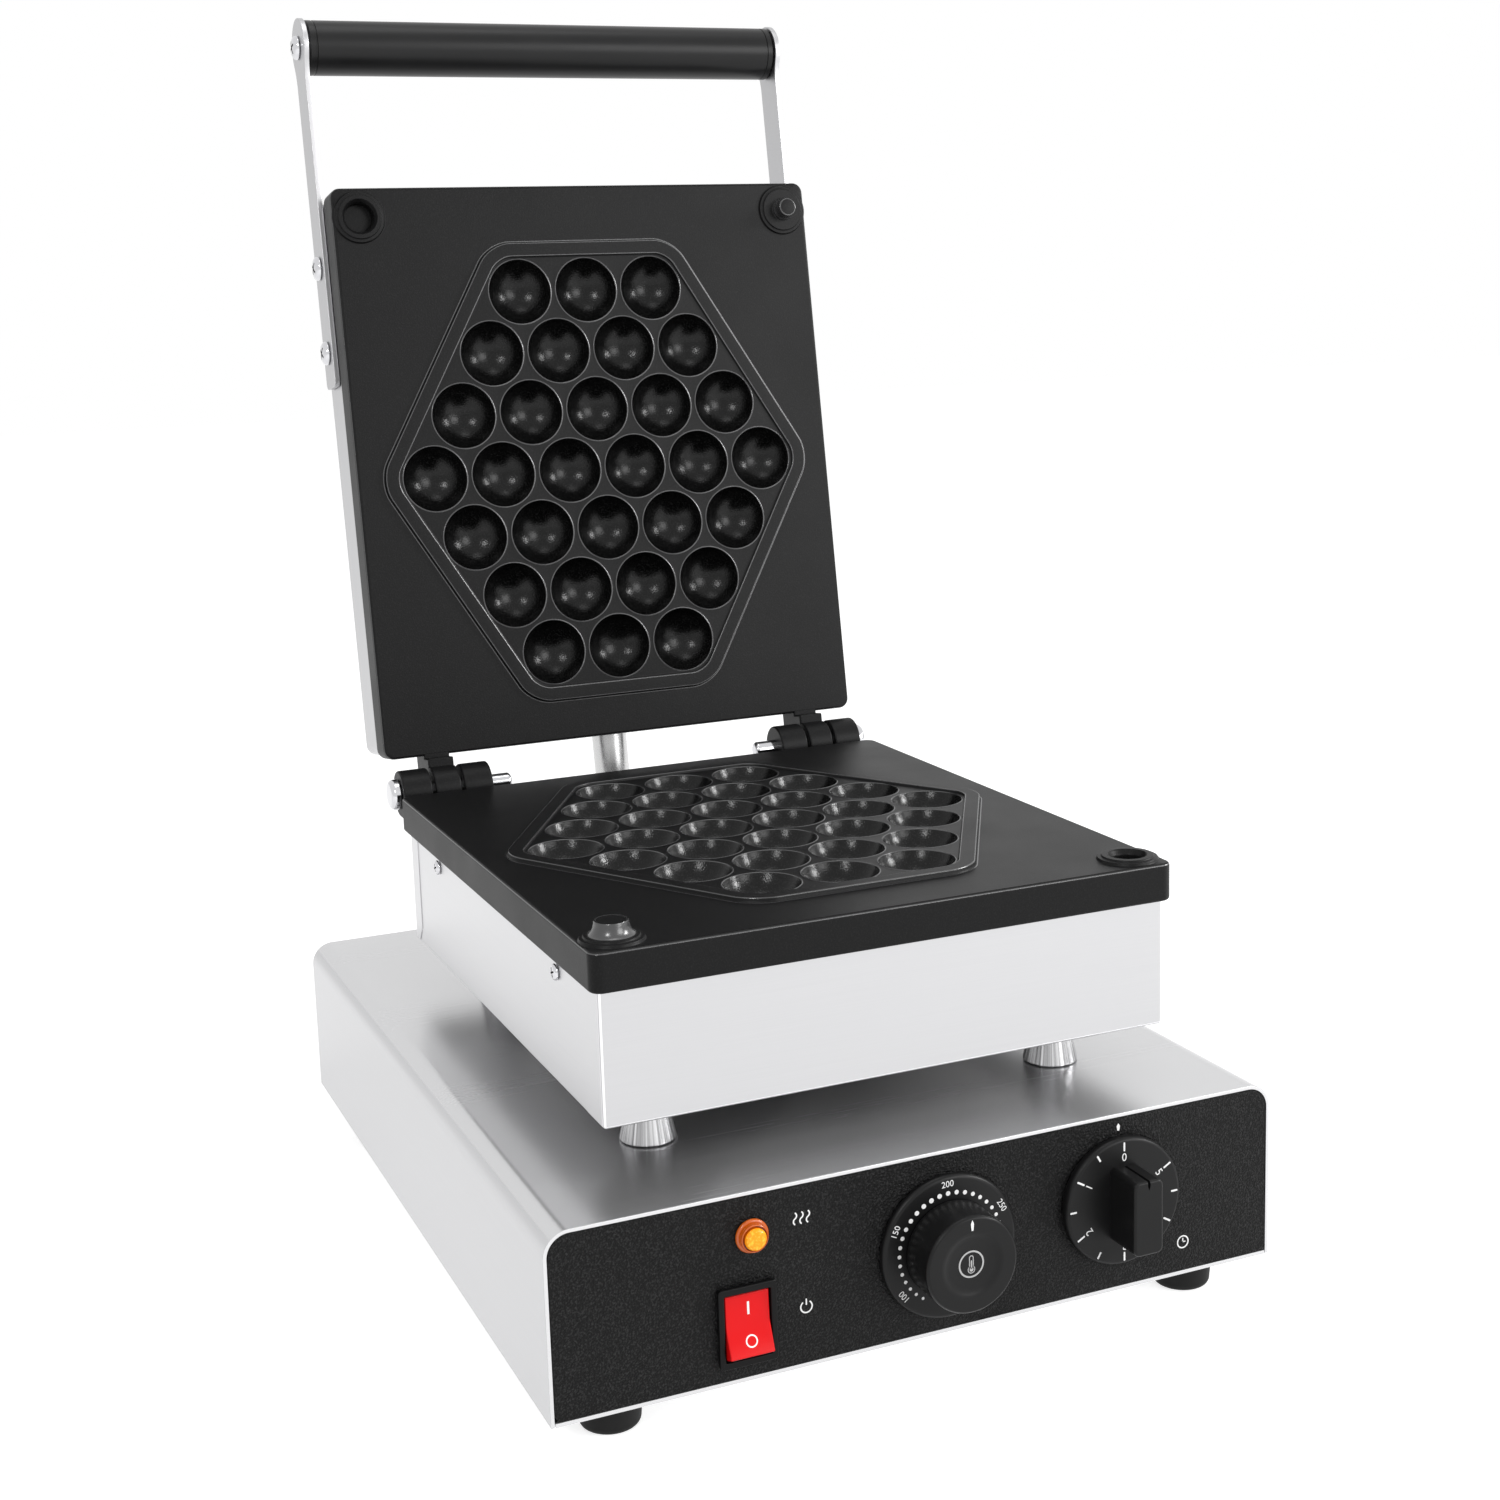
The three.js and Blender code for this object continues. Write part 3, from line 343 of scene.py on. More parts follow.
class Finish:
    """One material and the nodes that several finishes share."""

    def __init__(self, name, colour, roughness, metallic=0.0, specular=0.5, coat=0.0):
        self.material = bpy.data.materials.new(name)
        self.material.use_nodes = True
        self.tree = self.material.node_tree
        self.shader = self.tree.nodes['Principled BSDF']
        for socket, value in {'Base Color': (*colour, 1), 'Roughness': roughness, 'Metallic': metallic,
                              'Specular IOR Level': specular, 'Coat Weight': coat,
                              'Coat Roughness': 0.05}.items():
            self.shader.inputs[socket].default_value = value
        self.place = node(self.tree, 'TexCoord').outputs['Object']

    def mapped(self, rotation):
        return node(self.tree, 'Mapping', {'Vector': self.place, 'Rotation': rotation}).outputs[0]

    def use(self, tree, values):
        return node(self.tree, 'Group', values, node_tree=tree).outputs

    def feed(self, socket, value):
        self.tree.links.new(value, self.shader.inputs[socket])

    def vary_roughness(self, factor, least, most):
        self.feed('Roughness', blend_numbers(self.tree, factor, least, most))

    def vary_colour(self, factor, one, other):
        self.feed('Base Color', blend_colours(self.tree, factor, (*one, 1), (*other, 1)))

    def bump(self, height, distance):
        made = node(self.tree, 'Bump', {'Height': height, 'Distance': distance * MM, 'Strength': 1.0})
        self.feed('Normal', made.outputs[0])


ALONG_Y = (0, 0, math.radians(90))
ALONG_Z = (0, math.radians(90), 0)


def brushed(name, colour, roughness, rotation=(0, 0, 0), lines=0.02, bump=0.012, metallic=1.0):
    """Brushed along X, or along the turned X."""
    made = Finish(name, colour, roughness, metallic=metallic)
    out = made.use(BRUSHING, {'Vector': made.mapped(rotation), 'Fineness': 1.0})
    both = node(made.tree, 'Math', {0: out['Lines'], 1: out['Patches']}, operation='MULTIPLY')
    darker = tuple(c * 0.93 for c in colour)
    made.vary_colour(out['Lines'], darker, colour)
    made.vary_roughness(both.outputs[0], roughness - lines, roughness + 2 * lines)
    made.bump(out['Lines'], bump)
    return made.material


def streaked_painted_reflections(name, dark, pale, roughness, fineness):
    """Turned metal with painted reflections: light and dark streaks up its side, on the piece's own wrapping.
    """
    made = Finish(name, pale, roughness, metallic=1.0)
    wrapping = node(made.tree, 'TexCoord').outputs['UV']
    broad = made.use(BRUSHING, {'Vector': wrapping, 'Fineness': fineness})
    fine = made.use(BRUSHING, {'Vector': wrapping, 'Fineness': 4 * fineness})
    both = node(made.tree, 'Math', {0: broad['Lines'], 1: fine['Lines']}, operation='ADD')
    made.vary_colour(between(made.tree, both.outputs[0], 0.82, 1.18), dark, pale)
    made.vary_roughness(fine['Lines'], roughness - 0.04, roughness + 0.04)
    made.bump(fine['Lines'], 0.002)
    return made.material


def moulded(name, colour, roughness, scale=1500.0, bump=0.02, specular=0.5, spread=0.06, sharpness=0.5,
            coat=0.0, glow=None, specks=None):
    """A cast or moulded skin; glow is an emission colour and strength, specks the colour of its fine grains."""
    made = Finish(name, colour, roughness, specular=specular, coat=coat)
    if glow:
        made.shader.inputs['Emission Color'].default_value = (*glow[0], 1)
        made.shader.inputs['Emission Strength'].default_value = glow[1]
    out = made.use(GRAIN, {'Vector': made.place, 'Scale': scale, 'Sharpness': sharpness})
    if specks:
        made.vary_colour(between(made.tree, out['Height'], 0.5, 0.68), colour, specks)
    else:
        made.vary_colour(out['Mottle'], colour, tuple(min(1, c * 1.25 + 0.002) for c in colour))
    made.vary_roughness(out['Mottle'], roughness - spread, roughness + spread)
    made.bump(out['Height'], bump)
    return made.material


steel_base = brushed('brushed_steel_base', (0.68, 0.68, 0.69), 0.27, metallic=0.82)
# The base's sides, brushed along Y, darker than its top: painted shade
steel_base_side = brushed('brushed_steel_base_side_painted_shade', (0.60, 0.60, 0.61), 0.34, ALONG_Y)
steel_tray = brushed('brushed_steel_tray', (0.54, 0.54, 0.55), 0.32)
# The tray's sides, brushed along Y, paler than its front: painted light
steel_tray_side = brushed('brushed_steel_tray_side_painted_light', (0.68, 0.68, 0.69), 0.36, ALONG_Y)
# Pale steel for the tray's rounded edges and corners: a painted highlight line
sheet_edge = brushed('sheet_edge_painted_highlight', (0.90, 0.90, 0.91), 0.3)
# Pale, rough steel for the hem round the tray's underside: painted light, so that its reflection in the base's
# top is paler
steel_hem = brushed('steel_hem_painted_light', (0.86, 0.86, 0.87), 0.7)
steel_lid = brushed('brushed_steel_lid', (0.60, 0.60, 0.61), 0.34)
# The lid's sides, brushed along Z, darker than its top: painted shade
steel_lid_side = brushed('brushed_steel_lid_side_painted_shade', (0.54, 0.54, 0.55), 0.36, ALONG_Z)
steel_arm = brushed('satin_steel_arm', (0.52, 0.52, 0.53), 0.38, ALONG_Z)
steel_tube = brushed('brushed_steel_tube', (0.60, 0.60, 0.60), 0.28, ALONG_Z)
# Darker steel for the tray's underside: painted shade
under_tray_shade_steel = brushed('steel_painted_shade_under_tray', (0.26, 0.255, 0.25), 0.45)
# The spacers' light and dark streaks are painted reflections
spacer_metal_painted_reflections = streaked_painted_reflections('turned_spacer_metal_painted_reflections', (0.22, 0.22, 0.225), (0.74, 0.74, 0.75), 0.24, 0.11)
chrome = brushed('polished_chrome', (0.66, 0.66, 0.68), 0.12, lines=0.01, bump=0.001)
dark_steel = brushed('oxidised_steel', (0.32, 0.31, 0.31), 0.45)
shaft_steel = brushed('plain_steel', (0.55, 0.55, 0.56), 0.35)
coated = moulded('baked_black_coating', (0.004, 0.004, 0.0042), 0.42, scale=1700, bump=0.06, specular=0.15,
                 specks=(0.009, 0.009, 0.0092))
coated_hollow = moulded('baked_black_hollows', (0.001, 0.001, 0.001), 0.20, scale=1450, bump=0.09,
                        specular=0.25, spread=0.03, specks=(0.012, 0.012, 0.012))
# Paler coating for the plates' top edges, the band's edges, the hollows' lips and the locators' slopes: painted
# highlight
coated_edge_painted_highlight = moulded('coating_edges_painted_highlight', (0.03, 0.03, 0.031), 0.27, scale=1500, bump=0.03, specular=0.9)
plate_finishes = [coated, coated_hollow, coated_edge_painted_highlight]
leather_black = moulded('leather_grain_panel', (0.003, 0.003, 0.0031), 0.4, scale=1250, bump=0.7, specular=0.13,
                        specks=(0.024, 0.024, 0.0243))
black_plastic = moulded('black_moulded_plastic', (0.005, 0.005, 0.0052), 0.38, scale=2400, bump=0.008,
                        specular=0.2)
grip_black = moulded('satin_black_grip', (0.006, 0.006, 0.0063), 0.34, scale=2600, bump=0.006, specular=0.24)
rubber_black = moulded('matt_black_rubber', (0.006, 0.006, 0.006), 0.6, scale=1800, bump=0.02, specular=0.2)
switch_black = moulded('black_gloss_plastic', (0.003, 0.003, 0.0032), 0.3, scale=2400, bump=0.004,
                       specular=0.14)
# Black for the screws' cross slots: painted shade
slot_black_painted_shade = moulded('slot_painted_shade', (0.004, 0.004, 0.004), 0.6, scale=1500, bump=0.01, specular=0.1)
red_gloss = moulded('red_gloss_plastic', (0.66, 0.003, 0.005), 0.22, scale=300, bump=0.001, spread=0.03,
                    specular=0.2)
amber = moulded('amber_lens', (0.88, 0.30, 0.008), 0.15, scale=900, bump=0.3, spread=0.03, specular=0.25,
                glow=((1.0, 0.36, 0.01), 0.3), specks=(0.95, 0.55, 0.05))
amber_deep = moulded('deep_amber_ring', (0.42, 0.07, 0.002), 0.2, scale=700, bump=0.12, spread=0.05, coat=0.3,
                     glow=((1.0, 0.2, 0.005), 0.12))
# Dark amber in the lens's groove: painted shade
amber_groove_painted_shade = moulded('amber_groove_painted_shade', (0.16, 0.02, 0.002), 0.3, scale=700, bump=0.05, spread=0.05)
pale_plastic = moulded('pale_plastic', (0.72, 0.68, 0.58), 0.55, scale=1500, bump=0.02)
wool = moulded('mineral_wool', (0.70, 0.65, 0.56), 0.95, scale=500, bump=0.5, spread=0.04, sharpness=0.8)
print_grey = moulded('grey_print', (0.42, 0.42, 0.42), 0.5, scale=2500, bump=0.004, spread=0.05)
print_white = moulded('white_print', (0.86, 0.86, 0.86), 0.5, scale=2500, bump=0.004, spread=0.05)

slot_finish = {
    'stainless': steel_base, 'coated_plate': coated, 'fascia': leather_black, 'spacer': spacer_metal_painted_reflections,
    'fastener': chrome, 'heater': dark_steel, 'shaft': shaft_steel, 'insulation': wool, 'grip': grip_black,
    'control': black_plastic, 'control_body': pale_plastic, 'rocker': red_gloss, 'lens': amber,
    'rubber': rubber_black,
}
for subpart in frame['record']['subparts']:
    for material_slot in frame['nodes'][subpart['node']].material_slots:
        material_slot.material = slot_finish[subpart['material_slot']]

# Pieces sit this far off the faces that they are fixed to
SEAT = 0.3

# Base
BASE_SHEET = 1.5
BASE_RADIUS = 10
base_low, base_high = low('base_shell'), high('base_shell')
panel_face = low('front_panel').y


def bent_sheet(path, length, thickness, segments):
    """A sheet bent along an open path of (x, z) corners, run back along +Y; its thickness goes inwards."""
    bm = bmesh.new()
    verts = chain(bm, path, False)
    round_corners(bm, verts, path, segments)
    bm.transform(turn(90, 'X'))
    made = bmesh.ops.extrude_edge_only(bm, edges=bm.edges[:])
    bmesh.ops.translate(bm, verts=verts_in(made['geom']), vec=(0, length, 0))
    outward(bm)
    top = max(bm.faces, key=height_of)
    if top.normal.z < 0:
        flip(bm)
    bmesh.ops.solidify(bm, geom=bm.faces[:], thickness=thickness)
    return outward(bm)


def sides_apart(bm):
    """Gives the faces that look left and right the second finish: a copy of the first, brushed its own way, in
    another colour, which paints light or shade on the sides.
    """
    bm.normal_update()
    for face in bm.faces:
        if abs(face.normal.x) > 0.72:
            face.material_index = 1
    return bm


def make_base():
    x = base_high.x
    sheet = bent_sheet([(-x, base_low.z), (-x, base_high.z, BASE_RADIUS), (x, base_high.z, BASE_RADIUS),
                        (x, base_low.z)], base_high.y - base_low.y, BASE_SHEET, 14)
    soften(sheet, 0.3, segments=2)
    piece('base_case', sides_apart(sheet), [steel_base, steel_base_side], 'base',
          move(y=base_low.y), 'base_shell')


make_base()

# Baking plates, drawn about the middle of the plate with the baking face at 0 and the hinge towards +Y
PLATE_DEPTH = 272
PLATE_THICKNESS = 15.5
PLATE_CORNER = 5
PLATE_EDGE = 1.3
PITCH = 34
ROW = PITCH * math.sin(math.radians(60))
ROW_COUNTS = (3, 4, 5, 6, 5, 4, 3)
FIELD_SHIFT = 4
BAND_OUTER = 23.8
BAND_INNER = 17
BAND_RADIUS = 11
BAND_HEIGHT = 2
FIELD_HEIGHT = 0.8
DIMPLE_RADIUS = 15.5
DIMPLE_DEPTH = 11.5
ROUND_STEPS = 48
LOCATOR_INSET_X, LOCATOR_INSET_Y = 13, 14
HINGE_BEHIND = 16
HINGE_BELOW = 2.5
KNUCKLE_RADIUS = 11
KNUCKLES_LOWER = ((105, 119), (75.5, 89.5))
KNUCKLE_LID = (91, 103.5)
LID_FACE = 7
OPEN_ANGLE = 99

plate_width = high('lower_plate').x - low('lower_plate').x
plate_place = move(0, low('lower_plate').y + PLATE_DEPTH / 2, high('lower_tray').z + SEAT + PLATE_THICKNESS)
hinge = middle('hinge_pin_left')
hinge.x = 0
lid_place = Matrix.Translation(hinge) @ turn(-OPEN_ANGLE, 'X')
plate_middle = -PLATE_DEPTH / 2 - HINGE_BEHIND
# The lid's plate is drawn like the lower one and turned upside down by its mirror image
plate_in_lid = move(0, plate_middle, LID_FACE) @ Matrix.Scale(-1, 4, (0, 0, 1))


def field_corners(offset, radius):
    """The six-sided outline at one distance outside the outer hollows' centres."""
    lean = math.radians(30)
    rise = (len(ROW_COUNTS) - 1) / 2 * ROW + offset
    across = (max(ROW_COUNTS) - 1) / 2 * PITCH * math.cos(lean) + offset
    corner = (across - rise * math.sin(lean)) / math.cos(lean)
    tip = across / math.cos(lean)
    half = [(-corner, -rise), (corner, -rise), (tip, 0), (corner, rise), (-corner, rise), (-tip, 0)]
    return [(x, y + FIELD_SHIFT, radius) for x, y in half]


def make_band():
    """The raised band round the hollows, open inside and below."""
    bm = outline(field_corners(BAND_OUTER + 0.9, BAND_RADIUS), 10)
    face = bm.faces[:][0]
    if face.normal.z < 0:
        flip(bm)
    steps = [(0.45, 0.12), (0.25, 0.35), (0.15, 0.6), (0.15, 0.6), (0.2, 0.25), (0.3, 0.08),
             (BAND_OUTER - BAND_INNER - 1.1, 0), (0.3, -0.08), (0.2, -0.22), (0.12, -0.4), (0.12, -0.3),
             (0.35, -0.2)]
    for thickness, depth in steps:
        bmesh.ops.inset_individual(bm, faces=[face], thickness=thickness, depth=depth, use_even_offset=True)
    bmesh.ops.delete(bm, geom=[face], context='FACES_ONLY')
    bm.normal_update()
    for face in bm.faces:
        height = height_of(face)
        # The band's edges take the paler coating: painted highlight
        if height < 0.1 or height > BAND_HEIGHT - 0.4 and abs(face.normal.z) < 0.995:
            face.material_index = 2
    return bm


def make_hollow():
    """One round hollow with a fine raised lip, open at the lip's foot."""
    sphere = (DIMPLE_RADIUS ** 2 + DIMPLE_DEPTH ** 2) / (2 * DIMPLE_DEPTH)
    sweep = math.acos((sphere - DIMPLE_DEPTH) / sphere)
    bowl = bmesh.new()
    bottom = bowl.verts.new((0, 0, -DIMPLE_DEPTH))
    bmesh.ops.spin(bowl, geom=[bottom], cent=(0, 0, sphere - DIMPLE_DEPTH), axis=(0, -1, 0),
                   angle=sweep * 0.985, steps=14)
    rim = max(bowl.verts, key=lambda vert: vert.co.z)
    for x, z in ((15.56, -0.12), (15.66, 0.08), (15.8, 0.16), (15.95, 0.13), (16.15, 0.0)):
        made = bmesh.ops.extrude_vert_indiv(bowl, verts=[rim])
        rim = made['verts'][0]
        rim.co = (x, 0, z)
    spun(bowl, ROUND_STEPS)
    for face in bowl.faces:
        # The lip takes the paler coating: painted highlight
        face.material_index = 2 if height_of(face) > -0.13 else 1
    return bowl


def hollow_places():
    for row, count in enumerate(ROW_COUNTS):
        for i in range(count):
            yield (i - (count - 1) / 2) * PITCH, FIELD_SHIFT + ((len(ROW_COUNTS) - 1) / 2 - row) * ROW


def make_barrel(arc_start, corners, width):
    """A hinge knuckle's outline: three quarters of a circle about the pin and these corners, run along X."""
    bm = bmesh.new()
    start = bm.verts.new((KNUCKLE_RADIUS, 0, 0))
    bm.transform(turn(arc_start, 'Z'))
    made = swept(bm, [start], math.radians(270), 32)
    bm.verts.ensure_lookup_table()
    last = verts_in(made['geom_last'])[0]
    for x, y in corners:
        after = bm.verts.new((x, y, 0))
        bm.edges.new((last, after))
        last = after
    bm.edges.new((last, bm.verts[:][0]))
    bmesh.ops.contextual_create(bm, geom=bm.edges[:])
    raised(bm, width)
    return soften(bm, 0.9, where=level)


def fill_level(bm, height):
    """Closes the flat ground between all open edges at this height."""
    flat = lying_at(height)
    bmesh.ops.triangle_fill(bm, edges=[edge for edge in bm.edges if edge.is_boundary and flat(edge)],
                            use_beauty=True, use_dissolve=False)


def baking_plate(locators):
    """A plate with its band, its hollows and its locators at the left and right front corners."""
    bm = raised(box_outline(plate_width, PLATE_DEPTH, PLATE_CORNER), -PLATE_THICKNESS)
    soften(bm, PLATE_EDGE, where=level, segments=4)
    top = max(bm.faces, key=lambda face: (round(height_of(face), 3), face.calc_area()))
    bmesh.ops.delete(bm, geom=[top], context='FACES_ONLY')
    bm.normal_update()
    for face in bm.faces:
        # The rounded top edge takes the paler coating: painted highlight
        if 0.3 < abs(face.normal.z) < 0.8 and height_of(face) > -PLATE_EDGE:
            face.material_index = 2
    add(bm, make_band())
    for side, locator in zip((-1, 1), locators):
        add(bm, locator, move(side * (plate_width / 2 - LOCATOR_INSET_X), LOCATOR_INSET_Y - PLATE_DEPTH / 2, 0))
    fill_level(bm, 0)
    hollow = make_hollow()
    for x, y in hollow_places():
        add(bm, hollow.copy(), move(x, y, FIELD_HEIGHT))
    hollow.free()
    bmesh.ops.remove_doubles(bm, verts=bm.verts[:], dist=1e-3)
    fill_level(bm, FIELD_HEIGHT)
    return outward(bm)


# The stepped disc under each locator, as (radius, height)
DISC = [(13.0, 0), (12.55, 0.12), (12.3, 0.45), (12.2, 0.95), (12.0, 1.2), (10.9, 1.25), (10.65, 1.4),
        (10.5, 1.75), (10.3, 1.95), (10.0, 2.0)]
DISC_STEP, DISC_TOP = 1.2, 2.06


def locator(profile):
    """A turned disc and what stands on it, open below; its slopes get the paler edge finish, a painted
    highlight.
    """
    bm = bmesh.new()
    chain(bm, DISC + profile, False)
    bm.transform(turn(90, 'X'))
    spun(bm, ROUND_STEPS)
    bm.normal_update()
    for face in bm.faces:
        height = height_of(face)
        sloped = abs(face.normal.z) < 0.97
        if sloped and (height > DISC_TOP or height > DISC_STEP and face.normal.z > 0.3):
            face.material_index = 2
    return bm


def locating_boss():
    return locator([(9.7, 2.0), (8.9, 2.15), (8.2, 2.55), (7.6, 3.3), (7.0, 4.6), (6.65, 6.0), (6.5, 7.0),
                    (6.3, 7.4), (5.9, 7.5), (5.5, 7.35), (0, 7.3)])


def locating_pin():
    return locator([(6.3, 2.0), (5.8, 2.1), (5.6, 2.5), (5.5, 3.7), (5.3, 4.0), (4.9, 4.1), (4.7, 4.4),
                    (4.65, 8.0), (4.4, 8.7), (3.9, 9.0), (0, 9.0)])


def ring_socket(radius):
    return locator([(radius + 1.9, 2.0), (radius + 1.6, 2.05), (radius + 1.35, 1.9), (radius + 1.2, 1.6),
                    (radius + 0.35, 0.5), (radius + 0.1, 0.1), (radius, -0.4), (radius - 0.1, -4.6),
                    (radius - 0.5, -5.0), (0, -5.0)])


def make_plates():
    behind = PLATE_DEPTH / 2 + HINGE_BEHIND
    into_plate, plate_back = -HINGE_BEHIND - 1, 1 - HINGE_BEHIND
    lid_low, lid_high = LID_FACE, LID_FACE + PLATE_THICKNESS
    lower = baking_plate((locating_boss(), ring_socket(6.4)))
    upper = baking_plate((ring_socket(7.0), locating_pin()))
    for side in SIDES.values():
        for near, far in KNUCKLES_LOWER:
            barrel = make_barrel(-90, [(into_plate, 0), (into_plate, -KNUCKLE_RADIUS)], far - near)
            start = near if side > 0 else -far
            add(lower, barrel, move(start, behind, -HINGE_BELOW) @ SIDEWAYS)
        near, far = KNUCKLE_LID
        # Drawn in the lid's own frame and brought over to the plate's, which is upside down to it
        barrel = make_barrel(180, [(0, lid_high), (into_plate, lid_high), (into_plate, lid_low),
                                   (plate_back, lid_low), (plate_back, 0)], far - near)
        barrel.transform(move(near if side > 0 else -far) @ SIDEWAYS)
        barrel.transform(plate_in_lid.inverted())
        flip(barrel)
        add(upper, barrel)
    piece('lower_baking_plate', lower, plate_finishes, 'base', plate_place, 'lower_plate')
    piece('upper_baking_plate', upper, plate_finishes, 'lid', lid_place @ plate_in_lid,
          'upper_plate')


make_plates()

# Lower tray
TRAY_SHEET = 1.2
TRAY_CORNER = 1.1
TRAY_HEM = 32
LIP_SHEET = 0.45


def make_tray():
    lo, hi, centre = low('lower_tray'), high('lower_tray'), middle('lower_tray')
    height = hi.z - lo.z
    bm = raised(box_outline(hi.x - lo.x, hi.y - lo.y, TRAY_CORNER, 5), height)
    soften(bm, 1.0, where=lying_at(0))
    top = max(bm.faces, key=height_of)
    bmesh.ops.delete(bm, geom=[top], context='FACES')
    bmesh.ops.solidify(bm, geom=bm.faces[:], thickness=TRAY_SHEET)
    outward(bm)
    underside = min(bm.faces, key=lambda face: (round(height_of(face), 3), -face.calc_area()))
    bmesh.ops.inset_individual(bm, faces=[underside], thickness=TRAY_HEM, depth=0, use_even_offset=True)
    sides_apart(bm)
    for face in bm.faces:
        # The underside takes the darker steel: painted shade
        if face == underside:
            face.material_index = 2
        # The hem round the underside takes the pale steel: painted light
        elif face.normal.z < -0.98 and height_of(face) < TRAY_SHEET / 2:
            face.material_index = 4
        # The rounded edges and corners take the pale steel: a painted highlight
        elif max(abs(part) for part in face.normal) < 0.98:
            face.material_index = 3
    piece('tray_box', bm, [steel_tray, steel_tray_side, under_tray_shade_steel, sheet_edge, steel_hem], 'base',
          move(centre.x, centre.y, lo.z), 'lower_tray')
    for name, side in SIDES.items():
        lips = bmesh.new()
        front = outline([(1.2, 0.9), (18, 0.9), (18.6, 3), (18.6, height), (1.2, height)])
        back = outline([(-1.2, 0.9), (-7, 0.9), (-12, 8), (-12, height), (-1.2, height)])
        for lip, y in ((front, lo.y), (back, hi.y)):
            add(lips, soften(raised(lip, LIP_SHEET), 0.15, segments=2), move(y))
        piece(f'tray_lips_{name}', lips, steel_tray_side, 'base',
              move(lo.x - 0.4 if side < 0 else hi.x - 0.05, 0, lo.z) @ SIDEWAYS)


make_tray()

# Lid shell, in the lid's own frame: shut, about the hinge
SHELL_INSET = 1
SHELL_SHEET = 1.2
SHELL_RADIUS = 5
SHELL_BEND = 3
SHELL_LOW, SHELL_HIGH = 22.8, 51.0
shell_width = plate_width - 2 * SHELL_INSET
shell_depth = PLATE_DEPTH - 2 * SHELL_INSET


def make_lid_shell():
    rise = SHELL_HIGH - SHELL_LOW
    bm = raised(box_outline(shell_width, shell_depth, SHELL_RADIUS), rise)
    soften(bm, SHELL_BEND, where=lying_at(rise), segments=8)
    floor = min(bm.faces, key=height_of)
    bmesh.ops.delete(bm, geom=[floor], context='FACES')
    bmesh.ops.solidify(bm, geom=bm.faces[:], thickness=SHELL_SHEET)
    outward(bm)
    piece('lid_cover', sides_apart(bm), [steel_lid, steel_lid_side], 'lid',
          lid_place @ move(0, plate_middle, SHELL_LOW), 'lid_shell')


make_lid_shell()

# Handle
GRIP_HEIGHT = 36
GRIP_REACH = 361.5
GRIP_RADIUS = 13
ARM_THICKNESS = 2.5
ARM_WIDTH = 19
ARM_HEAD_RADIUS = 13.9
ARM_HEAD_ANGLE = 62
ARM_FOOT_REACH = 197
ARM_INSIDE = shell_width / 2 + SEAT


def arm_plate():
    """The arm's outline with y towards the hinge and 0 at the grip's axis, raised to its thickness."""
    half = ARM_WIDTH / 2
    lean = math.radians(ARM_HEAD_ANGLE)
    head = Vector((ARM_HEAD_RADIUS * math.cos(lean), ARM_HEAD_RADIUS * math.sin(lean), 0))
    waist = head.x + (head.y - half) * math.tan(lean)
    foot = GRIP_REACH - ARM_FOOT_REACH
    bm = bmesh.new()
    start = bm.verts.new(head)
    made = swept(bm, [start], 2 * (math.pi - lean), ROUND_STEPS)
    last = verts_in(made['geom_last'])[0]
    corners = [(waist, -half, 5.5), (foot, -half, 3), (foot, half, 3), (waist, half, 5.5)]
    verts = [bm.verts.new((*corner[:2], 0)) for corner in corners]
    for a, b in zip([last, *verts], [*verts, start]):
        bm.edges.new((a, b))
    round_corners(bm, verts, corners, 8)
    bmesh.ops.contextual_create(bm, geom=bm.edges[:])
    raised(bm, ARM_THICKNESS)
    return soften(bm, 0.35, where=level)


def crossed_screw(radius, height, length, shank, depth=1.5, width=1.1):
    """A pan-head screw with a cross cut into it; it stands on 0 and its shank goes down."""
    reach = 0.58 * radius
    cutter = bmesh.new()
    for angle in (0, 90):
        slot = raised(box_outline(2 * reach, width), depth + 1)
        add(cutter, slot, turn(angle, 'Z') @ move(z=height - depth))
    bm = turned([(0, -length), (shank, -length), (shank, 0), (radius - 0.25, 0), (radius, 0.35),
                 (radius * 0.98, height * 0.35), (radius * 0.88, height * 0.68), (radius * 0.68, height * 0.88),
                 (radius * 0.4, height * 0.97), (0, height)], steps=40)
    bm = carve(bm, cutter)
    # The cross's walls and floor take the black finish: painted shade
    for face in bm.faces:
        centre = face.calc_center_median()
        wall = centre.z > 0 and centre.xy.length < reach * 1.02 and face.normal.z < 0.2
        if wall or abs(centre.z - height + depth) < 0.02:
            face.material_index = 1
    return bm


